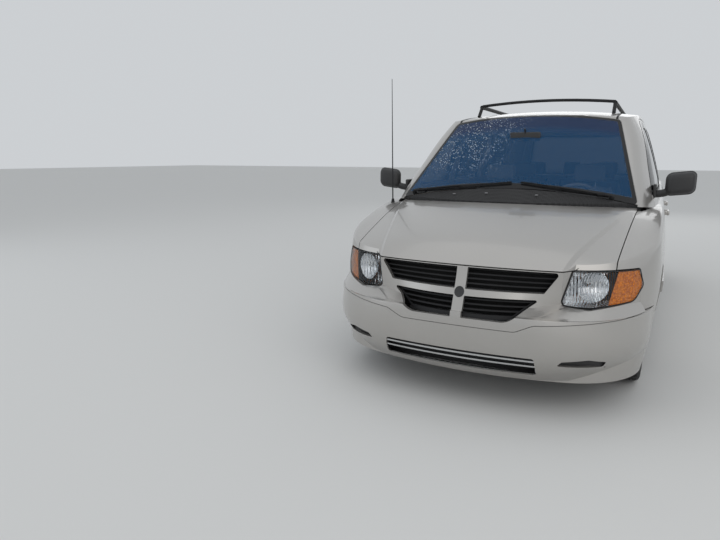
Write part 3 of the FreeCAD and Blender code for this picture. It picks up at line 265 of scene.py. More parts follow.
def cowlFinish():
    cowl = Finish("cowlMesh", Specular_IOR_Level=0.3)
    holes = cowl.cells(88, mess=0.0, stretch=(1, 1.35, 1.35))
    # the cells' centres are painted near-black: painted shade in openings that are only bumps
    cowl.set(Base_Color=cowl.blend(holes.above(0.36, 0.05), (0.0035, 0.0035, 0.004), (0.030, 0.030, 0.031)),
             Roughness=cowl.noise(5, 4).ranged(0.42, 0.66),
             Normal=cowl.bump(holes.above(0.36, 0.08), 0.9, 0.002))
    return cowl.material


def lensFinish(name, dark, pale, ribs=600):
    lens = Finish(name, Roughness=0.12, IOR=1.5, Coat_Weight=0.5)
    rib = (lens.xyz()[2] * ribs).sine()
    lens.set(Base_Color=lens.blend(rib * 0.5 + 0.5, dark, pale), Normal=lens.bump(rib, 0.3, 0.0006))
    return lens.material


def bowlFinish():
    chrome = Finish("chromeBowl", Metallic=1.0, Base_Color=(0.82, 0.84, 0.86))
    x, y, z = chrome.xyz()
    flutes = (x * 330 + y * 150).sine() * 0.6 + (z * 120).sine() * 0.25
    chrome.set(Roughness=0.07 + chrome.noise(30, 3) * 0.08, Normal=chrome.bump(flutes, 0.8, 0.003))
    return chrome.material


def amberFinish():
    amber = Finish("amberGlass", Roughness=0.10, IOR=1.5, Alpha=0.93)
    # the cells blend bright and dark amber: painted light and shade on the lens's facets
    grain = amber.cells(95)
    amber.set(Base_Color=amber.blend(grain, (0.95, 0.30, 0.012), (0.40, 0.075, 0.003)),
              Normal=amber.bump(grain, 0.8, 0.002))
    return amber.material


paint = paintFinish()
darkPlastic = plasticFinish("darkPlastic", (0.018, 0.018, 0.019), 0.46)
glossBlack = plasticFinish("glossBlack", (0.009, 0.009, 0.010), 0.16, 900, 0.03, 0.4)
satinBlack = plasticFinish("satinBlack", (0.010, 0.010, 0.011), 0.55, 500, 0.2, 0.25)
# a near-black sheet finish for behind the upper grille: painted shade
backingPlastic = plasticFinish("backingPlastic", (0.008, 0.008, 0.008), 0.8, 150, 0.9, 0.2)
greyTrim = plasticFinish("greyTrim", (0.17, 0.17, 0.175), 0.55, 800, 0.35)
paleTrim = plasticFinish("paleTrim", (0.42, 0.41, 0.39), 0.6, 650, 0.35)
dashSoft = plasticFinish("dashSoft", (0.115, 0.115, 0.118), 0.7, 700, 0.4, 0.3)
rubberSeal = plasticFinish("rubberSeal", (0.012, 0.012, 0.012), 0.62, 500, 0.2, 0.3)
tankPlastic = plasticFinish("tankPlastic", (0.03, 0.03, 0.032), 0.5, 300, 0.2)
bottlePlastic = plasticFinish("bottlePlastic", (0.55, 0.54, 0.48), 0.4, 200, 0.1)
plateEnamel = plasticFinish("plateEnamel", (0.62, 0.62, 0.60), 0.35, 400, 0.05)
chassisBlack = metalFinish("chassisBlack", (0.05, 0.05, 0.052), 0.55, 0.5, 40, 0.5)
floorMetal = metalFinish("floorMetal", (0.22, 0.23, 0.24), 0.5, 0.6, 30, 0.25)
engineMetal = metalFinish("engineMetal", (0.30, 0.30, 0.31), 0.5, 0.9, 50, 0.15)
exhaustSteel = metalFinish("exhaustSteel", (0.42, 0.38, 0.34), 0.42, 1.0, 24, 0.7)
coolerMetal = metalFinish("coolerMetal", (0.40, 0.41, 0.42), 0.45, 1.0, 80)
wheelSilver = metalFinish("wheelSilver", (0.58, 0.59, 0.60), 0.34, 0.75, 90)
brightMetal = metalFinish("brightMetal", (0.78, 0.79, 0.80), 0.14, 1.0, 200)
tyreRubber = tyreFinish()
seatCloth = fabricFinish("seatCloth", (0.20, 0.20, 0.205), (0.30, 0.30, 0.30))
headCloth = fabricFinish("headCloth", (0.44, 0.43, 0.41), (0.54, 0.53, 0.51))
carpetPile = fabricFinish("carpetPile", (0.10, 0.10, 0.10), (0.16, 0.16, 0.155))
hoodFelt = fabricFinish("hoodFelt", (0.018, 0.018, 0.019), (0.035, 0.035, 0.036))
tintedGlass = glassFinish("tintedGlass", (0.010, 0.012, 0.014), 0.78, 0.25)
doorGlass = glassFinish("doorGlass", (0.012, 0.018, 0.022), 0.50, 0.15)
lampGlass = glassFinish("lampGlass", (0.16, 0.17, 0.18), 0.08)
shieldGlass = windshieldFinish()
cowlMesh = cowlFinish()
redLens = lensFinish("redLens", (0.24, 0.006, 0.006), (0.42, 0.012, 0.012))
whiteLens = lensFinish("whiteLens", (0.50, 0.50, 0.49), (0.68, 0.68, 0.67))
chromeBowl = bowlFinish()
amberGlass = amberFinish()
mirrorGlass = Finish("mirrorGlass", Metallic=1.0, Roughness=0.02, Base_Color=(0.85, 0.87, 0.88)).material
print("materials made:", len(bpy.data.materials))

# the finishes of the CAD nodes that aren't painted
nodeFinish = {}
for finish, names in (
        (floorMetal, "floor_pan engine_bay"), (coolerMetal, "radiator"), (engineMetal, "engine"),
        (tankPlastic, "fuel_tank"), (exhaustSteel, "exhaust"), (dashSoft, "dashboard"),
        (chassisBlack, "front_subframe knuckle_left knuckle_right rear_axle"),
        (greyTrim, "steering_wheel steering_column"), (seatCloth, "front_seats middle_seats rear_bench"),
        (darkPlastic, "mirror_left mirror_right"), (satinBlack, "roof_rack antenna wipers grille"),
        (brightMetal, "lower_grille"), (cowlMesh, "cowl_panel"), (redLens, "tail_lamps"),
        (shieldGlass, "windshield"), (doorGlass, "front_door_glass_left front_door_glass_right"),
        (tintedGlass, "side_windows liftgate_glass"), (lampGlass, "headlamp_lenses"),
        (chromeBowl, "headlamps"),
        (tyreRubber, "tyre_front_left tyre_front_right tyre_rear_left tyre_rear_right"),
        (wheelSilver, "rim_front_left rim_front_right rim_rear_left rim_rear_right")):
    nodeFinish.update((name, finish) for name in names.split())
for name, node in cadNodes.items():
    node.data.materials.clear()
    node.data.materials.append(nodeFinish.get(name, paint))
    node.data.polygons.foreach_set("use_smooth", [True] * len(node.data.polygons))
    weld = node.modifiers.new("Weld", "WELD")
    weld.merge_threshold = 0.00002
    split = node.modifiers.new("Crisp", "EDGE_SPLIT")
    split.split_angle = math.radians(28)
print("nodes finished")

# piece tools
hands = (("left", 1), ("right", -1))  # the vehicle's left is +X


def makePiece(name, mesh, finish, body="chassis", replaced=(), sharp=35, flip=True):
    if flip:
        bmesh.ops.recalc_face_normals(mesh, faces=mesh.faces)
    data = bpy.data.meshes.new(name)
    mesh.to_mesh(data)
    mesh.free()
    data.polygons.foreach_set("use_smooth", [True] * len(data.polygons))
    data.set_sharp_from_angle(angle=math.radians(sharp))
    data.materials.append(finish)
    piece = bpy.data.objects.new(name, data)
    bpy.context.scene.collection.objects.link(piece)
    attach(piece, body)
    if replaced:
        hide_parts(*replaced)
    return piece


def addModifier(piece, kind, **settings):
    modifier = piece.modifiers.new(kind.title(), kind)
    for key, value in settings.items():
        setattr(modifier, key, value)


def turned(degrees, axis):
    return Matrix.Rotation(math.radians(degrees), 3, axis)


def shifted(mesh, move, turn=None):  # turned about the origin, then moved
    if turn:
        bmesh.ops.rotate(mesh, cent=(0, 0, 0), matrix=turn, verts=mesh.verts)
    bmesh.ops.translate(mesh, vec=move, verts=mesh.verts)
    return mesh


def mirrored(mesh, sign):  # to the vehicle's right where the sign is negative
    if sign < 0:
        bmesh.ops.scale(mesh, vec=(-1, 1, 1), verts=mesh.verts)
    return mesh


def spun(profile, steps=96):  # a profile of (along X, radius) turned about X
    mesh = bmesh.new()
    corners = [mesh.verts.new((a, 0, r)) for a, r in profile]
    rails = [mesh.edges.new(pair) for pair in zip(corners, corners[1:])]
    bmesh.ops.spin(mesh, geom=corners + rails, cent=(0, 0, 0), axis=(1, 0, 0),
                   angle=2 * math.pi, steps=steps, use_merge=True)
    bmesh.ops.remove_doubles(mesh, verts=mesh.verts, dist=0.00002)
    return mesh


def boxed(size, centre, soft, segments=3, turn=None):
    mesh = bmesh.new()
    bmesh.ops.create_cube(mesh, size=1)
    bmesh.ops.scale(mesh, vec=size, verts=mesh.verts)
    bmesh.ops.bevel(mesh, geom=mesh.edges[:], offset=soft, affect="EDGES", segments=segments,
                    profile=0.5, material=-1)
    return shifted(mesh, centre, turn)


def joined(meshes):
    whole = bmesh.new()
    for mesh in meshes:
        data = bpy.data.meshes.new("part")
        mesh.to_mesh(data)
        mesh.free()
        whole.from_mesh(data)
        bpy.data.meshes.remove(data)
    return whole


def rodded(points, radius, sides=12):  # a round bar along a smooth line
    curve = bpy.data.curves.new("rod", "CURVE")
    curve.dimensions = "3D"
    curve.bevel_depth = radius
    curve.bevel_resolution = sides // 4
    curve.use_fill_caps = True
    line = curve.splines.new("NURBS")
    line.points.add(len(points) - 1)
    for point, place in zip(line.points, points):
        point.co = (*place, 1)
    line.use_endpoint_u = True
    line.order_u = 3
    line.resolution_u = 8
    holder = bpy.data.objects.new("rod", curve)
    data = bpy.data.meshes.new_from_object(holder)
    bpy.data.objects.remove(holder)
    mesh = bmesh.new()
    mesh.from_mesh(data)
    bpy.data.meshes.remove(data)
    return mesh


def copied(nodeName):  # a merged copy of a CAD node
    mesh = bmesh.new()
    mesh.from_mesh(cadNodes[nodeName].data)
    bmesh.ops.remove_doubles(mesh, verts=mesh.verts, dist=0.00002)
    return mesh


def between(**limits):  # planes that keep what lies between two values on an axis
    planes = []
    for axis, ends in limits.items():
        along = Vector([float(axis == letter) for letter in "xyz"])
        for end, side in zip(ends, (-1, 1)):
            if end is not None:
                planes.append((along * end, along * side))
    return planes


def skinOf(nodeName, test, planes=()):  # the faces of a CAD node that pass a test
    mesh = copied(nodeName)
    for place, normal in planes:
        bmesh.ops.bisect_plane(mesh, geom=mesh.verts[:] + mesh.edges[:] + mesh.faces[:], dist=0.00001,
                               plane_co=place, plane_no=normal, clear_outer=True)
    mesh.normal_update()
    bmesh.ops.delete(mesh, geom=[face for face in mesh.faces if not test(face)], context="FACES")
    return mesh


def lifted(mesh, rise, thick):  # moved out along its normals, then given thickness
    mesh.normal_update()
    for vert in mesh.verts:
        vert.co += vert.normal * (rise + thick)
    bmesh.ops.solidify(mesh, geom=mesh.faces[:], thickness=thick)
    return mesh


def skinPatch(name, nodeName, test, finish, planes=(), body="chassis", slotName="black_plastic",
              rise=0.0004, thick=0.0012, soften=0):
    mesh = lifted(skinOf(nodeName, test, planes), rise, thick)
    piece = makePiece(name, mesh, finish, body, (), 30, False)
    if soften:
        addModifier(piece, "BEVEL", width=soften, segments=2, limit_method="ANGLE",
                    angle_limit=math.radians(50))


def sash(name, nodeName, width, test, body="chassis", rise=0.0006, thick=0.0012):
    mesh = skinOf(nodeName, test)  # a border strip around a pane or a lamp
    ring = set(bmesh.ops.inset_region(mesh, faces=mesh.faces[:], thickness=width, use_boundary=True,
                                      use_even_offset=True)["faces"])
    bmesh.ops.delete(mesh, geom=[face for face in mesh.faces if face not in ring], context="FACES")
    makePiece(name, lifted(mesh, rise, thick), rubberSeal, body, (), 30, False)


def skinTree(*nodeNames):  # for finding points on the skins of some nodes
    skin = joined([copied(name) for name in nodeNames])
    tree = BVHTree.FromBMesh(skin)
    skin.free()
    return tree


def onSkin(tree, x, z, lift, side):  # side is -1 for the front and 1 for the rear
    spot, normal = tree.ray_cast(Vector((x, 4 * side, z)), Vector((0, -side, 0)))[:2]
    return spot + normal * (lift if normal.y * side > 0 else -lift)


# wheels
tyreLook = {"radius": 0.343, "half": 0.1075, "bead": 0.205, "steps": 150, "grooveDepth": 0.0075,
            "grooves": (-0.058, -0.020, 0.020, 0.058), "sipeEdge": 0.0034, "sipeDepth": 0.0055}
wheelLook = {"steps": 126, "arms": 9, "half": 0.089, "radius": 0.203, "nuts": 5, "nutCircle": 0.042}
wheelSpots = {
    "front_left": (0.800, -1.5715), "front_right": (-0.800, -1.5715),
    "rear_left": (0.813, 1.4585), "rear_right": (-0.813, 1.4585),
}


def buildTyre(tag, x, y):
    look = tyreLook
    r, half, bead, deep = look["radius"], look["half"], look["bead"], look["grooveDepth"]
    crown = []
    for groove in look["grooves"]:
        lip = r - 0.0004 - abs(groove) * 0.06
        crown += [(groove - 0.005, lip), (groove - 0.004, r - deep),
                  (groove + 0.004, r - deep), (groove + 0.005, lip)]
    side = [(half - 0.086, bead - 0.004), (half - 0.022, bead), (half - 0.012, bead + 0.006),
            (half - 0.006, bead + 0.016), (half - 0.0045, bead + 0.030), (half - 0.001, bead + 0.034),
            (half - 0.0002, bead + 0.046), (half - 0.0002, r - 0.078), (half - 0.002, r - 0.060),
            (half - 0.004, r - 0.046), (half - 0.003, r - 0.038), (half - 0.006, r - 0.028),
            (half - 0.012, r - 0.016), (half - 0.021, r - 0.0075), (half - 0.030, r - 0.004)]
    profile = [(-a, b) for a, b in side] + crown + [(a, b) for a, b in reversed(side)]
    mesh = spun(profile, look["steps"])
    sipes = []
    for face in mesh.faces:
        centre = face.calc_center_median()
        reach = math.hypot(centre.y, centre.z)
        step = int(round(math.degrees(math.atan2(centre.z, centre.y)) / (360 / look["steps"]) - 0.5))
        lane = 0 if abs(centre.x) < 0.02 else (1 if abs(centre.x) < 0.058 else 2)
        if reach > r - 0.0068 and abs(face.normal.x) < 0.75 and (step + lane) % 3 == 0:
            sipes.append(face)
    outward = sipes[0].normal.dot(sipes[0].calc_center_median()) > 0
    depth = look["sipeDepth"] * (-1 if outward else 1)
    bmesh.ops.inset_individual(mesh, faces=sipes, thickness=look["sipeEdge"], depth=depth)
    makePiece("tyre_tread_" + tag, shifted(mesh, (x, y, r)), tyreRubber, "wheel_" + tag,
              ("tyre_" + tag,), 40)


def wheelFace():  # a domed disc with nine windows
    look = wheelLook
    half, r, steps = look["half"], look["radius"], look["steps"]
    dome = [(half - 0.012, r - 0.006), (half - 0.006, r - 0.012), (half - 0.008, r - 0.020),
            (half - 0.016, r - 0.030), (half - 0.019, r - 0.040), (half - 0.020, r - 0.056),
            (half - 0.019, r - 0.072), (half - 0.016, r - 0.088), (half - 0.010, r - 0.106),
            (half - 0.004, r - 0.124), (half - 0.001, r - 0.140), (half, r - 0.150)]
    mesh = spun(dome, steps)
    perArm = steps // look["arms"]
    windows = []
    for face in mesh.faces:
        centre = face.calc_center_median()
        reach = math.hypot(centre.y, centre.z)
        step = int((math.atan2(centre.z, centre.y) % (2 * math.pi)) / (2 * math.pi) * steps)
        wide = 4 if reach > r - 0.062 else 3
        if r - 0.094 < reach < r - 0.026 and abs(step % perArm - perArm // 2) <= wide:
            windows.append(face)
    bmesh.ops.delete(mesh, geom=windows, context="FACES")
    return mesh


def wheelRim():  # the barrel, the centre cap and the nuts
    look = wheelLook
    half, r = look["half"], look["radius"]
    barrel = [(-half, r + 0.007), (-half, r - 0.004), (-half + 0.016, r - 0.012), (half - 0.040, r - 0.020),
              (half - 0.014, r - 0.010), (half - 0.010, r + 0.003), (half - 0.004, r + 0.008),
              (half, r + 0.006), (half - 0.002, r - 0.006), (half - 0.016, r - 0.018),
              (half - 0.040, r - 0.027), (-half + 0.020, r - 0.021), (-half - 0.003, r - 0.006),
              (-half - 0.004, r + 0.007), (-half, r + 0.007)]
    cap = [(half + 0.004, 0.0), (half + 0.004, 0.018), (half + 0.002, 0.026), (half - 0.002, 0.030),
           (half - 0.010, 0.032), (half - 0.014, 0.060), (half - 0.020, 0.060)]
    parts = [spun(barrel, 96), spun(cap, 48)]
    for k in range(look["nuts"]):
        turn = 2 * math.pi * k / look["nuts"] + 0.3
        spot = (half - 0.001, look["nutCircle"] * math.cos(turn), look["nutCircle"] * math.sin(turn))
        nut = bmesh.new()
        bmesh.ops.create_cone(nut, cap_ends=True, segments=6, radius1=0.010, radius2=0.0085, depth=0.014,
                              matrix=Matrix.Translation(spot) @ Matrix.Rotation(math.pi / 2, 4, "Y"))
        parts.append(nut)
    return joined(parts)


def brakeDisc():  # two vented rings on a hat
    return spun([(-0.084, 0.0), (-0.084, 0.148), (-0.081, 0.150), (-0.074, 0.150), (-0.073, 0.120),
                 (-0.069, 0.120), (-0.068, 0.150), (-0.061, 0.150), (-0.058, 0.148), (-0.058, 0.090),
                 (-0.050, 0.086), (0.030, 0.060), (wheelLook["half"] - 0.022, 0.058)], 72)


for tag, (x, y) in wheelSpots.items():
    buildTyre(tag, x, y)
    body, centre = "wheel_" + tag, (x, y, tyreLook["radius"])
    rim, face, disc = [shifted(mirrored(mesh, x), centre) for mesh in (wheelRim(), wheelFace(), brakeDisc())]
    makePiece("wheel_rim_" + tag, rim, wheelSilver, body, ("rim_" + tag,), 38)
    cover = makePiece("wheel_face_" + tag, face, wheelSilver, body, (), 38)
    addModifier(cover, "SOLIDIFY", thickness=0.005, offset=-1)
    addModifier(cover, "SUBSURF", levels=1, render_levels=1)
    makePiece("brake_disc_" + tag, disc, exhaustSteel, body, (), 38)
print("wheels made")

# inner trim, laid on the inside of the body's panels
innerLook = {"rise": 0.0008, "thick": 0.0015}
skinPatch("headliner", "roof_panel", lambda f: f.normal.z < -0.5, headCloth, (), "chassis", "seat_fabric",
          **innerLook)
for hand, sign in hands:
    inward = lambda f, sign=sign: f.normal.x * sign < -0.35
    for name, node, body in (("front_door_trim_", "front_door_", "front_door_" + hand),
                             ("sliding_door_trim_", "sliding_door_", "chassis"),
                             ("side_trim_", "body_side_", "chassis")):
        skinPatch(name + hand, node + hand, inward, paleTrim, (), body, "trim_grey", **innerLook)
skinPatch("liftgate_trim", "liftgate", lambda f: f.normal.y < -0.35, paleTrim, (), "liftgate", "trim_grey",
          **innerLook)
skinPatch("carpet", "floor_pan", lambda f: f.normal.z > 0.6 and f.calc_center_median().z > 0.42, carpetPile,
          between(y=(-1.20, None)), "chassis", "seat_fabric", 0.001, 0.006)
print("inner trim laid")

# outer trim, cut from the panels' own skins
doorLook = {
    "front_door_": {"skinX": 0.975, "handleY": -0.160}, "sliding_door_": {"skinX": 0.978, "handleY": 0.865},
    "moulding": (0.470, 0.545), "handleZ": 0.925, "grip": (0.020, 0.200, 0.036),
    "foot": (0.024, 0.026, 0.030), "frameTo": -0.116, "frame": (1.115, 1.628), "pillar": (1.140, 1.586),
    "track": (1.045, 1.067), "roofStrip": (0.583, 0.5955),
}
for hand, sign in hands:
    look = doorLook
    outward = lambda f, sign=sign: f.normal.x * sign > 0.35
    frontDoor = "front_door_" + hand
    sash("front_glass_seal_" + hand, "front_door_glass_" + hand, 0.014, outward, frontDoor)
    for door, body in (("front_door_", frontDoor), ("sliding_door_", "chassis")):
        skinPatch(door + "moulding_" + hand, door + hand, outward, paint, between(z=look["moulding"]), body,
                  "paint", 0.001, 0.011, 0.004)
        edge, y, z = look[door]["skinX"], look[door]["handleY"], look["handleZ"]
        handle = [boxed(look["grip"], (sign * (edge + 0.018), y, z), 0.008)]
        handle += [boxed(look["foot"], (sign * (edge + 0.004), y + k * 0.084, z), 0.005, 2) for k in (-1, 1)]
        makePiece(door + "handle_" + hand, joined(handle), paint, body)
    # black window frame and pillars between the panes, the sliding door's track and the roof moulding
    skinPatch("door_frame_" + hand, frontDoor,
              lambda f, sign=sign: f.normal.x * sign > 0.35 or f.normal.y < -0.5, glossBlack,
              between(y=(None, look["frameTo"]), z=look["frame"]), frontDoor)
    pillars = (("front_door_", frontDoor, look["frameTo"], 0.0), ("sliding_door_", "chassis", -0.060, 0.028),
               ("sliding_door_", "chassis", 0.946, 1.02), ("body_side_", "chassis", 1.0, 1.086))
    for number, (node, body, start, end) in enumerate(pillars):
        skinPatch("pillar_cover_%s_%d" % (hand, number), node + hand, outward, glossBlack,
                  between(y=(start, end), z=look["pillar"]), body)
    skinPatch("door_track_" + hand, "body_side_" + hand, outward, satinBlack,
              between(y=(1.020, 1.76), z=look["track"]), thick=0.0022)
    strip = sorted(sign * reach for reach in look["roofStrip"])
    skinPatch("roof_moulding_" + hand, "roof_panel", lambda f: f.normal.z > 0.5, satinBlack,
              between(x=strip, y=(None, 2.2)), thick=0.003)
print("side trim cut")

archLook = {"near": 0.37, "far": 0.43, "inner": 0.48, "thick": 0.002}
for tag, node in (("front", "engine_bay"), ("rear", "floor_pan")):
    def towardsWheel(face, axleY=wheelSpots[tag + "_left"][1]):
        spot = face.calc_center_median()
        run = Vector((0, spot.y - axleY, spot.z - tyreLook["radius"]))
        inArch = archLook["near"] < run.length < archLook["far"] and abs(spot.x) > archLook["inner"]
        return inArch and face.normal.dot(run.normalized()) < -0.6
    skinPatch("arch_liner_" + tag, node, towardsWheel, satinBlack, rise=0.0008, thick=archLook["thick"])
print("wheel arches lined")

# seals round the lamps and panes
sash("headlamp_seal", "headlamp_lenses", 0.005, lambda f: f.normal.y < -0.2, rise=0.0008, thick=0.0014)
sash("liftgate_glass_seal", "liftgate_glass", 0.026, lambda f: f.normal.y > 0.2, "liftgate")
sash("side_window_seal", "side_windows", 0.016,
     lambda f: abs(f.normal.x) > 0.3 and f.normal.x * f.calc_center_median().x > 0)
print("seals made")

# headlamps: chrome bowls, bulbs and the amber outer part
lampLook = {
    "spot": (0.642, -2.262, 0.703), "heading": 27, "amberFrom": 0.742, "amberLean": 0.20,
    "bowl": [(-0.052, 0.010), (-0.047, 0.026), (-0.034, 0.048), (-0.012, 0.068), (0.010, 0.080)],
    "shade": [(-0.008, 0.0), (-0.004, 0.009), (-0.012, 0.0135), (-0.016, 0.0135)],
}
for hand, sign in hands:
    look = lampLook
    turn = turned(look["heading"] - 90, "Z")
    bowl = spun(look["bowl"], 48)
    bmesh.ops.solidify(bowl, geom=bowl.faces[:], thickness=0.0015)
    bulb = bmesh.new()
    bmesh.ops.create_uvsphere(bulb, u_segments=20, v_segments=12, radius=0.013,
                              matrix=Matrix.Translation((-0.022, 0, 0)) @ Matrix.Diagonal((1.7, 1, 1, 1)))
    for mesh, name, finish in ((bowl, "headlamp_bowl_", chromeBowl), (bulb, "headlamp_bulb_", lampGlass),
                               (spun(look["shade"], 24), "headlamp_shade_", brightMetal)):
        mesh = mirrored(shifted(mesh, look["spot"], turn), sign)
        makePiece(name + hand, mesh, finish, "chassis")
    inwards = Vector((-sign, 0, look["amberLean"])).normalized()
    skinPatch("turn_lamp_" + hand, "headlamp_lenses",
              lambda f, sign=sign: f.normal.y < -0.15 and f.calc_center_median().x * sign > 0, amberGlass,
              [((sign * look["amberFrom"], 0, 0.70), inwards)], "chassis", "lamp_lens", -0.0052)
print("headlamps made")

# grille: near-black sheets behind the bars and in the fog pockets, painted shade for the dark space behind
# them, and a bare boss on the upright
grilleLook = {
    "upper": ((0.96, 0.006, 0.30), (0, -2.318, 0.652)), "lower": ((0.90, 0.006, 0.15), (0, -2.385, 0.300)),
    "fog": (0.25, 0.004, 0.070), "fogSpot": (0.630, -2.368, 0.332), "fogTurn": 32,
    "boss": [(0.0, 0.0), (0.0035, 0.0), (0.0035, 0.021), (0.0050, 0.023), (0.0050, 0.026), (0.0, 0.0275),
             (-0.004, 0.0275)],
    "bossSpot": (0, -2.4775, 0.654), "bossLean": -24,
}
# these sheets paint the shade behind the grille's bars
makePiece("grille_backing", boxed(*grilleLook["upper"], 0.002, 2), backingPlastic)
makePiece("lower_backing", boxed(*grilleLook["lower"], 0.002, 2), darkPlastic)
for hand, sign in hands:
    x, y, z = grilleLook["fogSpot"]
    # a dark sheet at the back of each fog pocket: painted shade in the recess
    pocket = boxed(grilleLook["fog"], (sign * x, y, z), 0.001, 1, turned(sign * grilleLook["fogTurn"], "Z"))
    makePiece("fog_backing_" + hand, pocket, darkPlastic)
boss = shifted(spun(grilleLook["boss"], 48), (0, 0, 0), turned(-90, "Z"))
bmesh.ops.scale(boss, vec=(1, 1, 1.15), verts=boss.verts)
boss = shifted(boss, grilleLook["bossSpot"], turned(grilleLook["bossLean"], "X"))
makePiece("plain_boss", boss, darkPlastic)
print("grille dressed")

# seats: soft cushions swollen by cloth, on plastic plinths
seatLook = {"cushion": (0.50, 0.50, 0.115), "back": (0.48, 0.085, 0.50), "head": (0.245, 0.080, 0.145),
            "bolster": 0.030, "seamDepth": 0.007, "seamWidth": 0.007, "voxel": 0.011, "cap": 0.016,
            "pressure": 4.0, "postRadius": 0.006}
seatRows = {
    "front_seats": {"spots": (0.375, -0.375), "y": 2.060 - 2.5465, "wide": 1.0},
    "middle_seats": {"spots": (0.375, -0.375), "y": 3.060 - 2.5465, "wide": 1.0},
    "rear_bench": {"spots": (0.395, 0.0, -0.395), "y": 3.960 - 2.5465, "wide": 0.77},
}


def evaluated(holder):
    return bpy.data.meshes.new_from_object(holder.evaluated_get(bpy.context.evaluated_depsgraph_get()))


def plumped(mesh):  # remeshed, blown up as cloth, held within the cap and smoothed
    look = seatLook
    data = bpy.data.meshes.new("plump")
    mesh.to_mesh(data)
    mesh.free()
    pad = bpy.data.objects.new("plump", data)
    bpy.context.scene.collection.objects.link(pad)
    addModifier(pad, "REMESH", mode="VOXEL", voxel_size=look["voxel"])
    fine = evaluated(pad)
    pad.modifiers.clear()
    pad.data = fine
    start = [vert.co.copy() for vert in fine.vertices]
    cloth = pad.modifiers.new("Cloth", "CLOTH")
    cloth.settings.quality = 5
    cloth.settings.use_pressure = True
    cloth.settings.uniform_pressure_force = look["pressure"]
    cloth.settings.effector_weights.gravity = 0
    cloth.collision_settings.use_collision = False
    for step in range(1, 21):
        bpy.context.scene.frame_set(step)
    swollen = evaluated(pad)
    for vert, first in zip(swollen.vertices, start):
        move = vert.co - first
        if move.length > look["cap"]:
            vert.co = first + move.normalized() * look["cap"]
    pad.modifiers.clear()
    pad.data = swollen
    bpy.context.scene.frame_set(1)
    result = bmesh.new()
    result.from_mesh(pad.data)
    bpy.data.objects.remove(pad)
    bmesh.ops.smooth_vert(result, verts=result.verts, factor=0.5, use_axis_x=True, use_axis_y=True,
                          use_axis_z=True)
    return result


def grooved(mesh, lines):  # sewn seams: each line is an axis, a place and a reach test
    mesh.normal_update()
    for vert in mesh.verts:
        for axis, place, test in lines:
            if test(vert.co):
                gone = (vert.co[axis] - place) / seatLook["seamWidth"]
                vert.co -= vert.normal * seatLook["seamDepth"] * math.exp(-gone * gone)
    return mesh


def gridCube():
    mesh = bmesh.new()
    bmesh.ops.create_cube(mesh, size=1)
    bmesh.ops.subdivide_edges(mesh, edges=mesh.edges[:], cuts=9, use_grid_fill=True)
    return mesh


def shapedCushion():
    mesh = gridCube()
    wide, deep, tall = seatLook["cushion"]
    for vert in mesh.verts:
        x, y, z = vert.co * 2
        bolster = seatLook["bolster"] * max(0, (abs(x) - 0.62) / 0.38) ** 1.5 if z > 0 else 0
        crown = 0.014 * (1 - y * y) * (1 - x * x) if z > 0 else 0
        roll = -0.030 * max(0, (-y - 0.7) / 0.3) ** 2 if z > 0 else 0.020 * max(0, (-y - 0.6) / 0.4) ** 2
        pull = 1 - 0.035 * (z * z) - 0.03 * max(0, abs(y) - 0.7)
        vert.co = Vector((x * wide / 2 * pull, y * deep / 2 * (1 - 0.02 * z * z),
                          z * tall / 2 + bolster + crown + roll))
    return mesh


def shapedBack():
    mesh = gridCube()
    wide, deep, tall = seatLook["back"]
    for vert in mesh.verts:
        x, y, z = vert.co * 2
        bolster = seatLook["bolster"] * max(0, (abs(x) - 0.60) / 0.40) ** 1.4 if y < 0 else 0
        lumbar = 0.012 * math.exp(-((z + 0.45) / 0.3) ** 2) if y < 0 else 0
        narrow = 1 - 0.13 * max(0, z) ** 2 - 0.04 * z * z
        crest = -0.020 * x * x if z > 0.8 else 0
        vert.co = Vector((x * wide / 2 * narrow, y * deep / 2 - bolster - lumbar, z * tall / 2 + crest))
    return mesh


def headPad():
    mesh = boxed(seatLook["head"], (0, 0, 0), 0.026, 4)
    bmesh.ops.subdivide_edges(mesh, edges=mesh.edges[:], cuts=1, use_grid_fill=True)
    for vert in mesh.verts:
        vert.co.x *= 1 - 0.9 * max(0, vert.co.z) ** 1.2
        vert.co.y -= 0.010 * (1 - (vert.co.x / 0.13) ** 2)
    return mesh


onTop = lambda p: p.z > 0.02
onFront = lambda p: p.y < -0.01
acrossTop = lambda p: onTop(p) and abs(p.x) < 0.17
acrossFront = lambda p: onFront(p) and abs(p.x) < 0.155
cushionMesh = grooved(plumped(shapedCushion()), [(0, 0.165, onTop), (0, -0.165, onTop),
                                                 (1, -0.175, acrossTop), (1, 0.05, acrossTop)])
backMesh = grooved(plumped(shapedBack()), [(0, 0.150, onFront), (0, -0.150, onFront),
                                           (2, 0.13, acrossFront), (2, -0.03, acrossFront)])


def seatFrame(x, y, wide, armrest):
    parts = [boxed((wide, 0.42, 0.030), (x, y, 0.600), 0.008, 2)]
    for side in (-1, 1):
        rail = x + side * wide * 0.42
        parts.append(boxed((0.045, 0.44, 0.022), (rail, y, 0.4415), 0.005, 2))
        parts += [boxed((0.034, 0.052, 0.150), (rail, y + end * 0.15, 0.522), 0.006, 2) for end in (-1, 1)]
    if armrest:
        parts.append(boxed((0.035, 0.30, 0.10), (x + 0.262, y + 0.10, 0.640), 0.014))
    return joined(parts)


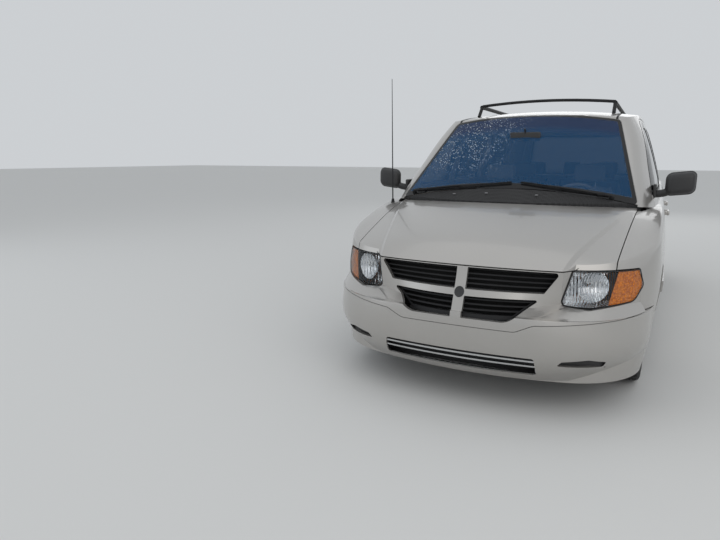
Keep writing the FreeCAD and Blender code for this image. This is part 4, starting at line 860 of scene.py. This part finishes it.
for row, spec in seatRows.items():
    for number, x in enumerate(spec["spots"]):
        y, wide, tag = spec["y"], spec["wide"], "%s_%d" % (row, number + 1)
        pads = []
        shapes = (("cushion_", cushionMesh.copy(), -0.005, 0.672, 3, wide),
                  ("backrest_", backMesh.copy(), 0.300, 0.885, -14.5, wide),
                  ("head_rest_", headPad(), 0.398, 1.222, -13, 0.9 * wide + 0.1))
        for name, mesh, back, z, lean, spread in shapes:
            bmesh.ops.scale(mesh, vec=(spread, 1, 1), verts=mesh.verts)
            mesh = shifted(mesh, (x, y + back, z), turned(lean, "X"))
            pads.append(makePiece(name + tag, mesh, seatCloth, "chassis", (row,), 60))
        addModifier(pads[-1], "SUBSURF", levels=1, render_levels=1)
        posts = [rodded([(x + k * 0.055, y + 0.372, 1.095), (x + k * 0.055, y + 0.384, 1.13),
                         (x + k * 0.055, y + 0.392, 1.165)], seatLook["postRadius"]) for k in (-1, 1)]
        makePiece("head_posts_" + tag, joined(posts), brightMetal, "chassis", (row,))
        makePiece("seat_frame_" + tag, seatFrame(x, y, 0.40 * wide, row != "rear_bench"), greyTrim, "chassis",
                  (row,))
cushionMesh.free()
backMesh.free()
print("seats made")

# mirrors: rounded heads on short arms, glass to the rear
mirrorLook = {
    "head": (0.176, 0.088, 0.152), "place": (1.028, -1.1030, 1.193), "round": 0.040, "armRadius": 0.025,
    "arm": [(-0.170, 0.030, -0.074), (-0.120, 0.028, -0.072), (-0.072, 0.014, -0.060), (-0.030, 0.0, -0.030)],
    "foot": ((0.020, 0.130, 0.085), (-0.146, 0.054, -0.052)),
    "lens": ((0.138, 0.004, 0.098), (0.004, 0.0425, 0.0)),
    "inner": ((0.22, 0.020, 0.065), (0, -0.985, 1.505)),
}
for hand, sign in hands:
    look = mirrorLook
    head = boxed(look["head"], (0, 0, 0), look["round"], 6)
    for vert in head.verts:
        if vert.co.y < 0:
            vert.co.x *= 0.94
            vert.co.z *= 0.90
        vert.co.z += 0.010 * (vert.co.x / 0.086)
    shell = joined([head, rodded(look["arm"], look["armRadius"], 16), boxed(*look["foot"], 0.009)])
    lens = boxed(*look["lens"], 0.0018, 2)
    for mesh, name, finish in ((shell, "mirror_shell_", darkPlastic), (lens, "mirror_lens_", mirrorGlass)):
        makePiece(name + hand, mirrored(shifted(mesh, look["place"]), sign), finish, "front_door_" + hand,
                  ("mirror_" + hand,), 40)
inner = boxed(*mirrorLook["inner"], 0.009, 4)
stalk = rodded([(0, -0.985, 1.520), (0, -1.000, 1.545), (0, -1.012, 1.560)], 0.006)
makePiece("inner_mirror", joined([inner, stalk]), darkPlastic)
print("mirrors made")

# wipers: sprung arms and blades that follow the glass
wiperLook = {  # (x, z) of the pivot, the elbow and the blade's two ends
    "left": ((0.640, 1.104), (0.335, 1.149), (0.625, 1.1185), (0.078, 1.187)),
    "right": ((-0.706, 1.102), (-0.335, 1.147), (-0.695, 1.1165), (0.018, 1.185)),
}
nozzleSpots = ((-0.36, 1.105), (-0.13, 1.118), (0.20, 1.114))
glassTree = skinTree("windshield", "cowl_panel")


def onGlass(place, lift):
    return onSkin(glassTree, *place, lift, -1)


def partWay(start, end, t):
    return tuple(a + (b - a) * t for a, b in zip(start, end))


def along(start, end, steps, lift, sag=0.0):
    return [onGlass(partWay(start, end, k / steps), lift - sag * math.sin(math.pi * k / steps))
            for k in range(steps + 1)]


for hand, (pivot, elbow, root, tip) in wiperLook.items():
    near = partWay(pivot, elbow, 0.2)
    upright = Vector((1, 0, 0)).rotation_difference(Vector((0, -0.6, 0.8))).to_matrix()
    cap = shifted(spun([(0.006, 0.0), (0.005, 0.010), (-0.004, 0.0145), (-0.018, 0.0150)], 32),
                  onGlass(pivot, 0.016), upright)
    arm = [rodded(along(pivot, near, 3, 0.019), 0.0085, 12),
           rodded(along(near, elbow, 6, 0.020, -0.003), 0.0052, 10),
           boxed((0.052, 0.016, 0.020), onGlass(near, 0.020), 0.005), cap]
    blade = [rodded(along(root, tip, 14, 0.0125, -0.002), 0.0034, 8)]
    blade += [boxed((0.022, 0.007, 0.012), onGlass(partWay(root, tip, t), 0.0095), 0.002, 2)
              for t in (0.06, 0.28, 0.5, 0.72, 0.94)]
    rubber = [rodded(along(root, tip, 14, 0.0052), 0.0030, 8)]
    for name, parts, finish in (("wiper_arm_", arm, satinBlack), ("wiper_blade_", blade, satinBlack),
                                ("wiper_rubber_", rubber, rubberSeal)):
        makePiece(name + hand, joined(parts), finish, "chassis", ("wipers",), 40)
nozzles = [boxed((0.020, 0.014, 0.008), onGlass(spot, 0.003), 0.003, 2) for spot in nozzleSpots]
makePiece("washer_nozzles", joined(nozzles), greyTrim)
print("wipers made")

# rear: blank plate, lamps, bumper pad, handle, brake lamp, wiper and filler cap
rearLook = {
    "plate": ((0.305, 0.002, 0.155), (0, 2.4545, 0.810)),
    "screws": ((-0.089, 2.4555, 0.860), (0.089, 2.4555, 0.860)),
    "reverse": (0.862, 0.930), "dividers": (0.856, 0.936), "reflectorX": (0.60, 0.74),
    "reflectorZ": (0.400, 0.435), "pivot": (0, 1.100), "armReach": 0.30, "armRise": 0.075, "bladeZ": 1.176,
    "filler": (0, 1.8635, 0.935),
}
makePiece("blank_plate", boxed(*rearLook["plate"], 0.0009, 2), plateEnamel, "liftgate")
screwProfile = [(-0.001, 0), (0.0035, 0.0), (0.0035, 0.0055), (0.0, 0.0065)]
screws = [shifted(spun(screwProfile, 20), spot, turned(90, "Z")) for spot in rearLook["screws"]]
makePiece("plate_screws", joined(screws), brightMetal, "liftgate")
outside = lambda f: f.normal.y > 0.25 or f.normal.x * f.calc_center_median().x > 0.25
backward = lambda f: f.normal.y > 0.25
skinPatch("reverse_lamps", "tail_lamps", outside, whiteLens, between(z=rearLook["reverse"]), "chassis",
          "lamp_lens", 0.0003, 0.0008)
for number, z in enumerate(rearLook["dividers"]):
    skinPatch("lamp_divider_%d" % number, "tail_lamps", outside, satinBlack,
              between(z=(z - 0.003, z + 0.003)), rise=0.0003)
sash("tail_lamp_seal", "tail_lamps", 0.006, outside)
skinPatch("bumper_pad", "rear_bumper", lambda f: f.normal.z > 0.7, darkPlastic, between(y=(2.30, None)),
          thick=0.003)
for hand, sign in hands:
    reach = sorted(sign * x for x in rearLook["reflectorX"])
    skinPatch("rear_reflector_" + hand, "rear_bumper", backward, redLens,
              between(x=reach, z=rearLook["reflectorZ"]), "chassis", "red_lens", thick=0.003)
# name, half width, lowest and highest point, finish, slot, thickness and softened edge
gateStrips = (
    ("gate_handle", 0.33, 0.938, 0.985, paint, "paint", 0.012, 0.004),
    ("gate_pull", 0.20, 0.922, 0.937, glossBlack, "black_plastic", 0.0012, 0),
    ("high_brake_lamp", 0.14, 1.632, 1.652, redLens, "red_lens", 0.004, 0),
)
for name, half, low, high, finish, slotName, thick, soften in gateStrips:
    skinPatch(name, "liftgate", backward, finish, between(x=(-half, half), z=(low, high)), "liftgate",
              slotName, 0.0004, thick, soften)
gateTree = skinTree("liftgate", "liftgate_glass")


def onGate(x, z, lift):
    return onSkin(gateTree, x, z, lift, 1)


x, z = rearLook["pivot"]
arm = rodded([onGate(x + t * rearLook["armReach"], z + rearLook["armRise"] * math.sin(t * math.pi / 2), 0.019)
              for t in (0, 0.2, 0.4, 0.6, 0.8, 1)], 0.0055)
pivot = boxed((0.040, 0.022, 0.040), onGate(x, z, 0.012), 0.009, 4)
makePiece("rear_wiper_arm", joined([arm, pivot]), satinBlack, "liftgate")
blade = rodded([onGate(0.10 + k * 0.05, rearLook["bladeZ"], 0.010) for k in range(9)], 0.0042)
makePiece("rear_wiper_blade", blade, rubberSeal, "liftgate")
cap = spun([(0.889, 0.044), (0.893, 0.044), (0.894, 0.032), (0.909, 0.031), (0.912, 0.028), (0.912, 0.0)], 40)
grip = boxed((0.010, 0.012, 0.050), (0.914, 0, 0), 0.003, 2)
makePiece("filler_cap", shifted(joined([cap, grip]), rearLook["filler"]), darkPlastic)
print("rear dressed")

# under the hood: cover, runners, battery, air box, bottle, booster and hoses
skinPatch("hood_pad", "hood", lambda f: f.normal.z < -0.6, hoodFelt,
          between(x=(-0.66, 0.66), y=(-2.34, -1.50)), "hood", rise=0.0008, thick=0.004)
bayBoxes = (  # each box is its size, its centre and its edges' radius
    ("engine_cover", darkPlastic, [((0.56, 0.34, 0.030), (0, -1.87, 0.783), 0.010),
                                   ((0.36, 0.11, 0.026), (0, -1.90, 0.803), 0.009)]),
    ("battery", darkPlastic, [((0.215, 0.160, 0.150), (0.665, -1.775, 0.835), 0.006),
                              ((0.225, 0.170, 0.060), (0.665, -1.775, 0.755), 0.008),
                              ((0.200, 0.145, 0.012), (0.665, -1.775, 0.914), 0.004)]),
    ("battery_posts", brightMetal, [((0.018, 0.018, 0.014), (x, -1.815, 0.923), 0.004)
                                    for x in (0.605, 0.725)]),
    ("air_box", darkPlastic, [((0.25, 0.185, 0.085), (-0.655, -1.765, 0.800), 0.014),
                              ((0.24, 0.175, 0.055), (-0.655, -1.765, 0.872), 0.016)]),
    ("coolant_bottle", bottlePlastic, [((0.150, 0.095, 0.140), (0.660, -1.375, 0.815), 0.020),
                                       ((0.044, 0.044, 0.030), (0.660, -1.375, 0.896), 0.010)]),
    ("brake_reservoir", bottlePlastic, [((0.050, 0.110, 0.048), (0.370, -1.430, 0.935), 0.010)]),
    ("fuse_box", darkPlastic, [((0.140, 0.100, 0.070), (-0.620, -1.385, 0.780), 0.012)]),
)
for name, finish, shapes in bayBoxes:
    makePiece(name, joined([boxed(*shape, 4) for shape in shapes]), finish)
runners = [rodded([(x, -1.72, 0.792), (x, -1.66, 0.822), (x, -1.58, 0.812), (x, -1.52, 0.775)], 0.021, 16)
           for x in (-0.21, -0.07, 0.07, 0.21)]
runners.append(rodded([(-0.27, -1.53, 0.800), (0.27, -1.53, 0.800)], 0.034, 20))
makePiece("intake_runners", joined(runners), coolerMetal, "chassis")
boosterLook = {"place": (0.370, -1.335, 0.880), "cylinder": [(0.370, -1.37, 0.890), (0.370, -1.50, 0.890)]}
booster = spun([(-0.045, 0.0), (-0.042, 0.080), (-0.022, 0.104), (0.004, 0.108), (0.008, 0.100),
                (0.040, 0.088), (0.046, 0.0)], 48)
booster = shifted(booster, boosterLook["place"], turned(90, "Z"))
makePiece("brake_booster", joined([booster, rodded(boosterLook["cylinder"], 0.020, 20)]), darkPlastic)
hoses = (  # name, radius and the points of its run
    ("air_duct", 0.034,
     [(-0.53, -1.76, 0.845), (-0.44, -1.75, 0.850), (-0.35, -1.66, 0.838), (-0.27, -1.55, 0.808)]),
    ("upper_hose", 0.019,
     [(-0.28, -2.262, 0.690), (-0.28, -2.215, 0.740), (-0.24, -2.16, 0.790), (-0.20, -2.07, 0.795)]),
    ("battery_lead", 0.006,
     [(0.605, -1.815, 0.925), (0.54, -1.86, 0.925), (0.44, -1.90, 0.86), (0.36, -1.92, 0.79)]),
    ("heater_hose", 0.012,
     [(0.18, -1.29, 0.90), (0.18, -1.40, 0.90), (0.14, -1.50, 0.85), (0.12, -1.56, 0.80)]),
)
for name, radius, points in hoses:
    makePiece(name, rodded(points, radius, 16), rubberSeal, sharp=60)
print("engine bay dressed")

# cabin: dials, vents, centre stack, glove box, armrests, wheel pad, pedals
lean = turned(12, "X")
cabinBoxes = (  # each box is its size, its centre, its edges' radius and its turn
    ("dial_hood", dashSoft, "trim_grey",
     [((0.37, 0.17, 0.075), (0.370, -1.030, 1.070), 0.030, None)]),
    ("dial_face", glossBlack, "black_plastic",
     [((0.30, 0.004, 0.060), (0.370, -0.9425, 1.068), 0.001, lean)]),
    ("centre_stack", greyTrim, "trim_grey",
     [((0.250, 0.040, 0.290), (0, -0.915, 0.850), 0.014, None)]),
    ("stack_panel", glossBlack, "black_plastic",
     [((0.180, 0.004, 0.062), (0, -0.893, 0.900), 0.001, None),
      ((0.180, 0.004, 0.040), (0, -0.893, 0.780), 0.001, None)]),
    ("glove_lid", greyTrim, "trim_grey",
     [((0.380, 0.012, 0.150), (-0.430, -0.9115, 0.800), 0.005, None),
      ((0.060, 0.008, 0.014), (-0.430, -0.904, 0.855), 0.003, None)]),
    ("pedals", darkPlastic, "black_plastic",
     [((0.100, 0.014, 0.050), (0.400, -1.150, 0.520), 0.004, lean),
      ((0.050, 0.014, 0.100), (0.540, -1.150, 0.520), 0.004, lean)]),
)
for name, finish, slotName, shapes in cabinBoxes:
    parts = [boxed(size, centre, soft, 4, turn) for size, centre, soft, turn in shapes]
    makePiece(name, joined(parts), finish, "chassis")
vents = []
for x in (-0.70, -0.19, 0.19, 0.70):
    vents.append(boxed((0.125, 0.014, 0.052), (x, -0.921, 0.945), 0.006))
    vents += [boxed((0.112, 0.010, 0.004), (x, -0.9125, 0.945 + k * 0.011), 0.001, 1)
              for k in (-1.5, -0.5, 0.5, 1.5)]
makePiece("dash_vents", joined(vents), darkPlastic)
knobProfile = [(0.0, 0.0), (0.0, 0.019), (-0.016, 0.019 * 0.88), (-0.018, 0.0)]
ringProfile = [(-0.0005, 0.024), (-0.0035, 0.0265), (-0.0005, 0.0285)]
knobs = [shifted(spun(knobProfile, 28), (x, -0.896, 0.838), turned(-90, "Z")) for x in (-0.07, 0, 0.07)]
knobs += [shifted(spun(ringProfile, 40), (x, -0.940, 1.068), turned(-90, "Z")) for x in (0.295, 0.445)]
makePiece("dash_knobs", joined(knobs), greyTrim, "chassis")
columnLook = {"tilt": 24, "hub": (0.370, -0.7565, 0.985),
              "stalk": ((0.04, -0.835, 0.955), (0.16, -0.815, 0.985))}
tilt = turned(columnLook["tilt"], "X")
axle = tilt @ Vector((0, 1, 0))
hub = Vector(columnLook["hub"])
pad = [boxed((0.180, 0.034, 0.120), hub + axle * 0.016, 0.016, 4, tilt),
       boxed((0.110, 0.008, 0.066), hub + axle * 0.033, 0.003, 3, tilt)]
makePiece("wheel_pad", joined(pad), dashSoft, "steering_wheel")
stalks = [rodded([(columnLook["hub"][0] + k * reach, y, z) for reach, y, z in columnLook["stalk"]], 0.007)
          for k in (-1, 1)]
makePiece("column_stalks", joined(stalks), darkPlastic)
for hand, sign in hands:
    for body, y, name in (("front_door_" + hand, -0.42, "front_armrest_"),
                          ("chassis", 0.46, "slider_armrest_")):
        rest = boxed((0.060, 0.40, 0.050), (sign * 0.868, y, 0.800), 0.016, 4)
        pull = rodded([(sign * 0.885, y - 0.15, 0.90), (sign * 0.868, y - 0.12, 0.902),
                       (sign * 0.868, y + 0.02, 0.902), (sign * 0.885, y + 0.05, 0.90)], 0.009)
        makePiece(name + hand, joined([rest, pull]), dashSoft, body)
print("cabin dressed")

# floor, light and camera
studio = {
    "floor": (0.68, 0.68, 0.67), "sky": (0.84, 0.87, 0.90), "skyPower": 0.72,
    "lamps": (  # name, place, aim, size, power and colour
        ("overheadSoft", (0, -1.5, 7.5), (0, 0, 0.8), (9, 9), 55, (1, 1, 1)),
        ("keySoft", (5.5, -7.5, 5.0), (0, -1, 0.8), (9, 7), 170, (1.0, 0.97, 0.93)),
        ("fillSoft", (-7.0, -5.0, 3.5), (0, -1, 0.8), (8, 5), 70, (0.90, 0.95, 1.0)),
        ("rearSoft", (0, 9.0, 4.5), (0, 2, 0.8), (7, 4), 60, (1, 1, 1)),
    ),
}
cameraLook = {"place": (0.878, -5.3515, 1.365), "yaw": 27.19, "pitch": 11.35, "roll": -0.05,
              "lens": 567.9 / 720 * 36}
floorMesh = bmesh.new()
bmesh.ops.create_grid(floorMesh, x_segments=1, y_segments=1, size=60)
floorData = bpy.data.meshes.new("studioFloor")
floorMesh.to_mesh(floorData)
floorMesh.free()
studioFloor = bpy.data.objects.new("studioFloor", floorData)
bpy.context.scene.collection.objects.link(studioFloor)
floorFinish = Finish("floorFinish", Roughness=0.9, Base_Color=studio["floor"], Specular_IOR_Level=0.1)
floorData.materials.append(floorFinish.material)

world = bpy.data.worlds.new("studioWorld")
bpy.context.scene.world = world
world.use_nodes = True
sky = world.node_tree.nodes["Background"]
sky.inputs["Color"].default_value = (*studio["sky"], 1)
sky.inputs["Strength"].default_value = studio["skyPower"]
for name, place, aim, size, power, colour in studio["lamps"]:
    data = bpy.data.lights.new(name, "AREA")
    data.shape = "RECTANGLE"
    data.size, data.size_y = size
    data.energy = power
    data.color = colour
    lamp = bpy.data.objects.new(name, data)
    lamp.location = place
    lamp.rotation_euler = (Vector(aim) - Vector(place)).to_track_quat("-Z", "Y").to_euler()
    bpy.context.scene.collection.objects.link(lamp)

cameraData = bpy.data.cameras.new("photoCamera")
cameraData.lens = cameraLook["lens"]
cameraData.clip_end = 200
camera = bpy.data.objects.new("photoCamera", cameraData)
camera.location = cameraLook["place"]
camera.rotation_euler = (math.radians(90 - cameraLook["pitch"]), math.radians(cameraLook["roll"]),
                         math.radians(cameraLook["yaw"]))
bpy.context.scene.collection.objects.link(camera)
bpy.context.scene.camera = camera
bpy.context.scene.view_settings.view_transform = "Standard"
print("studio set")
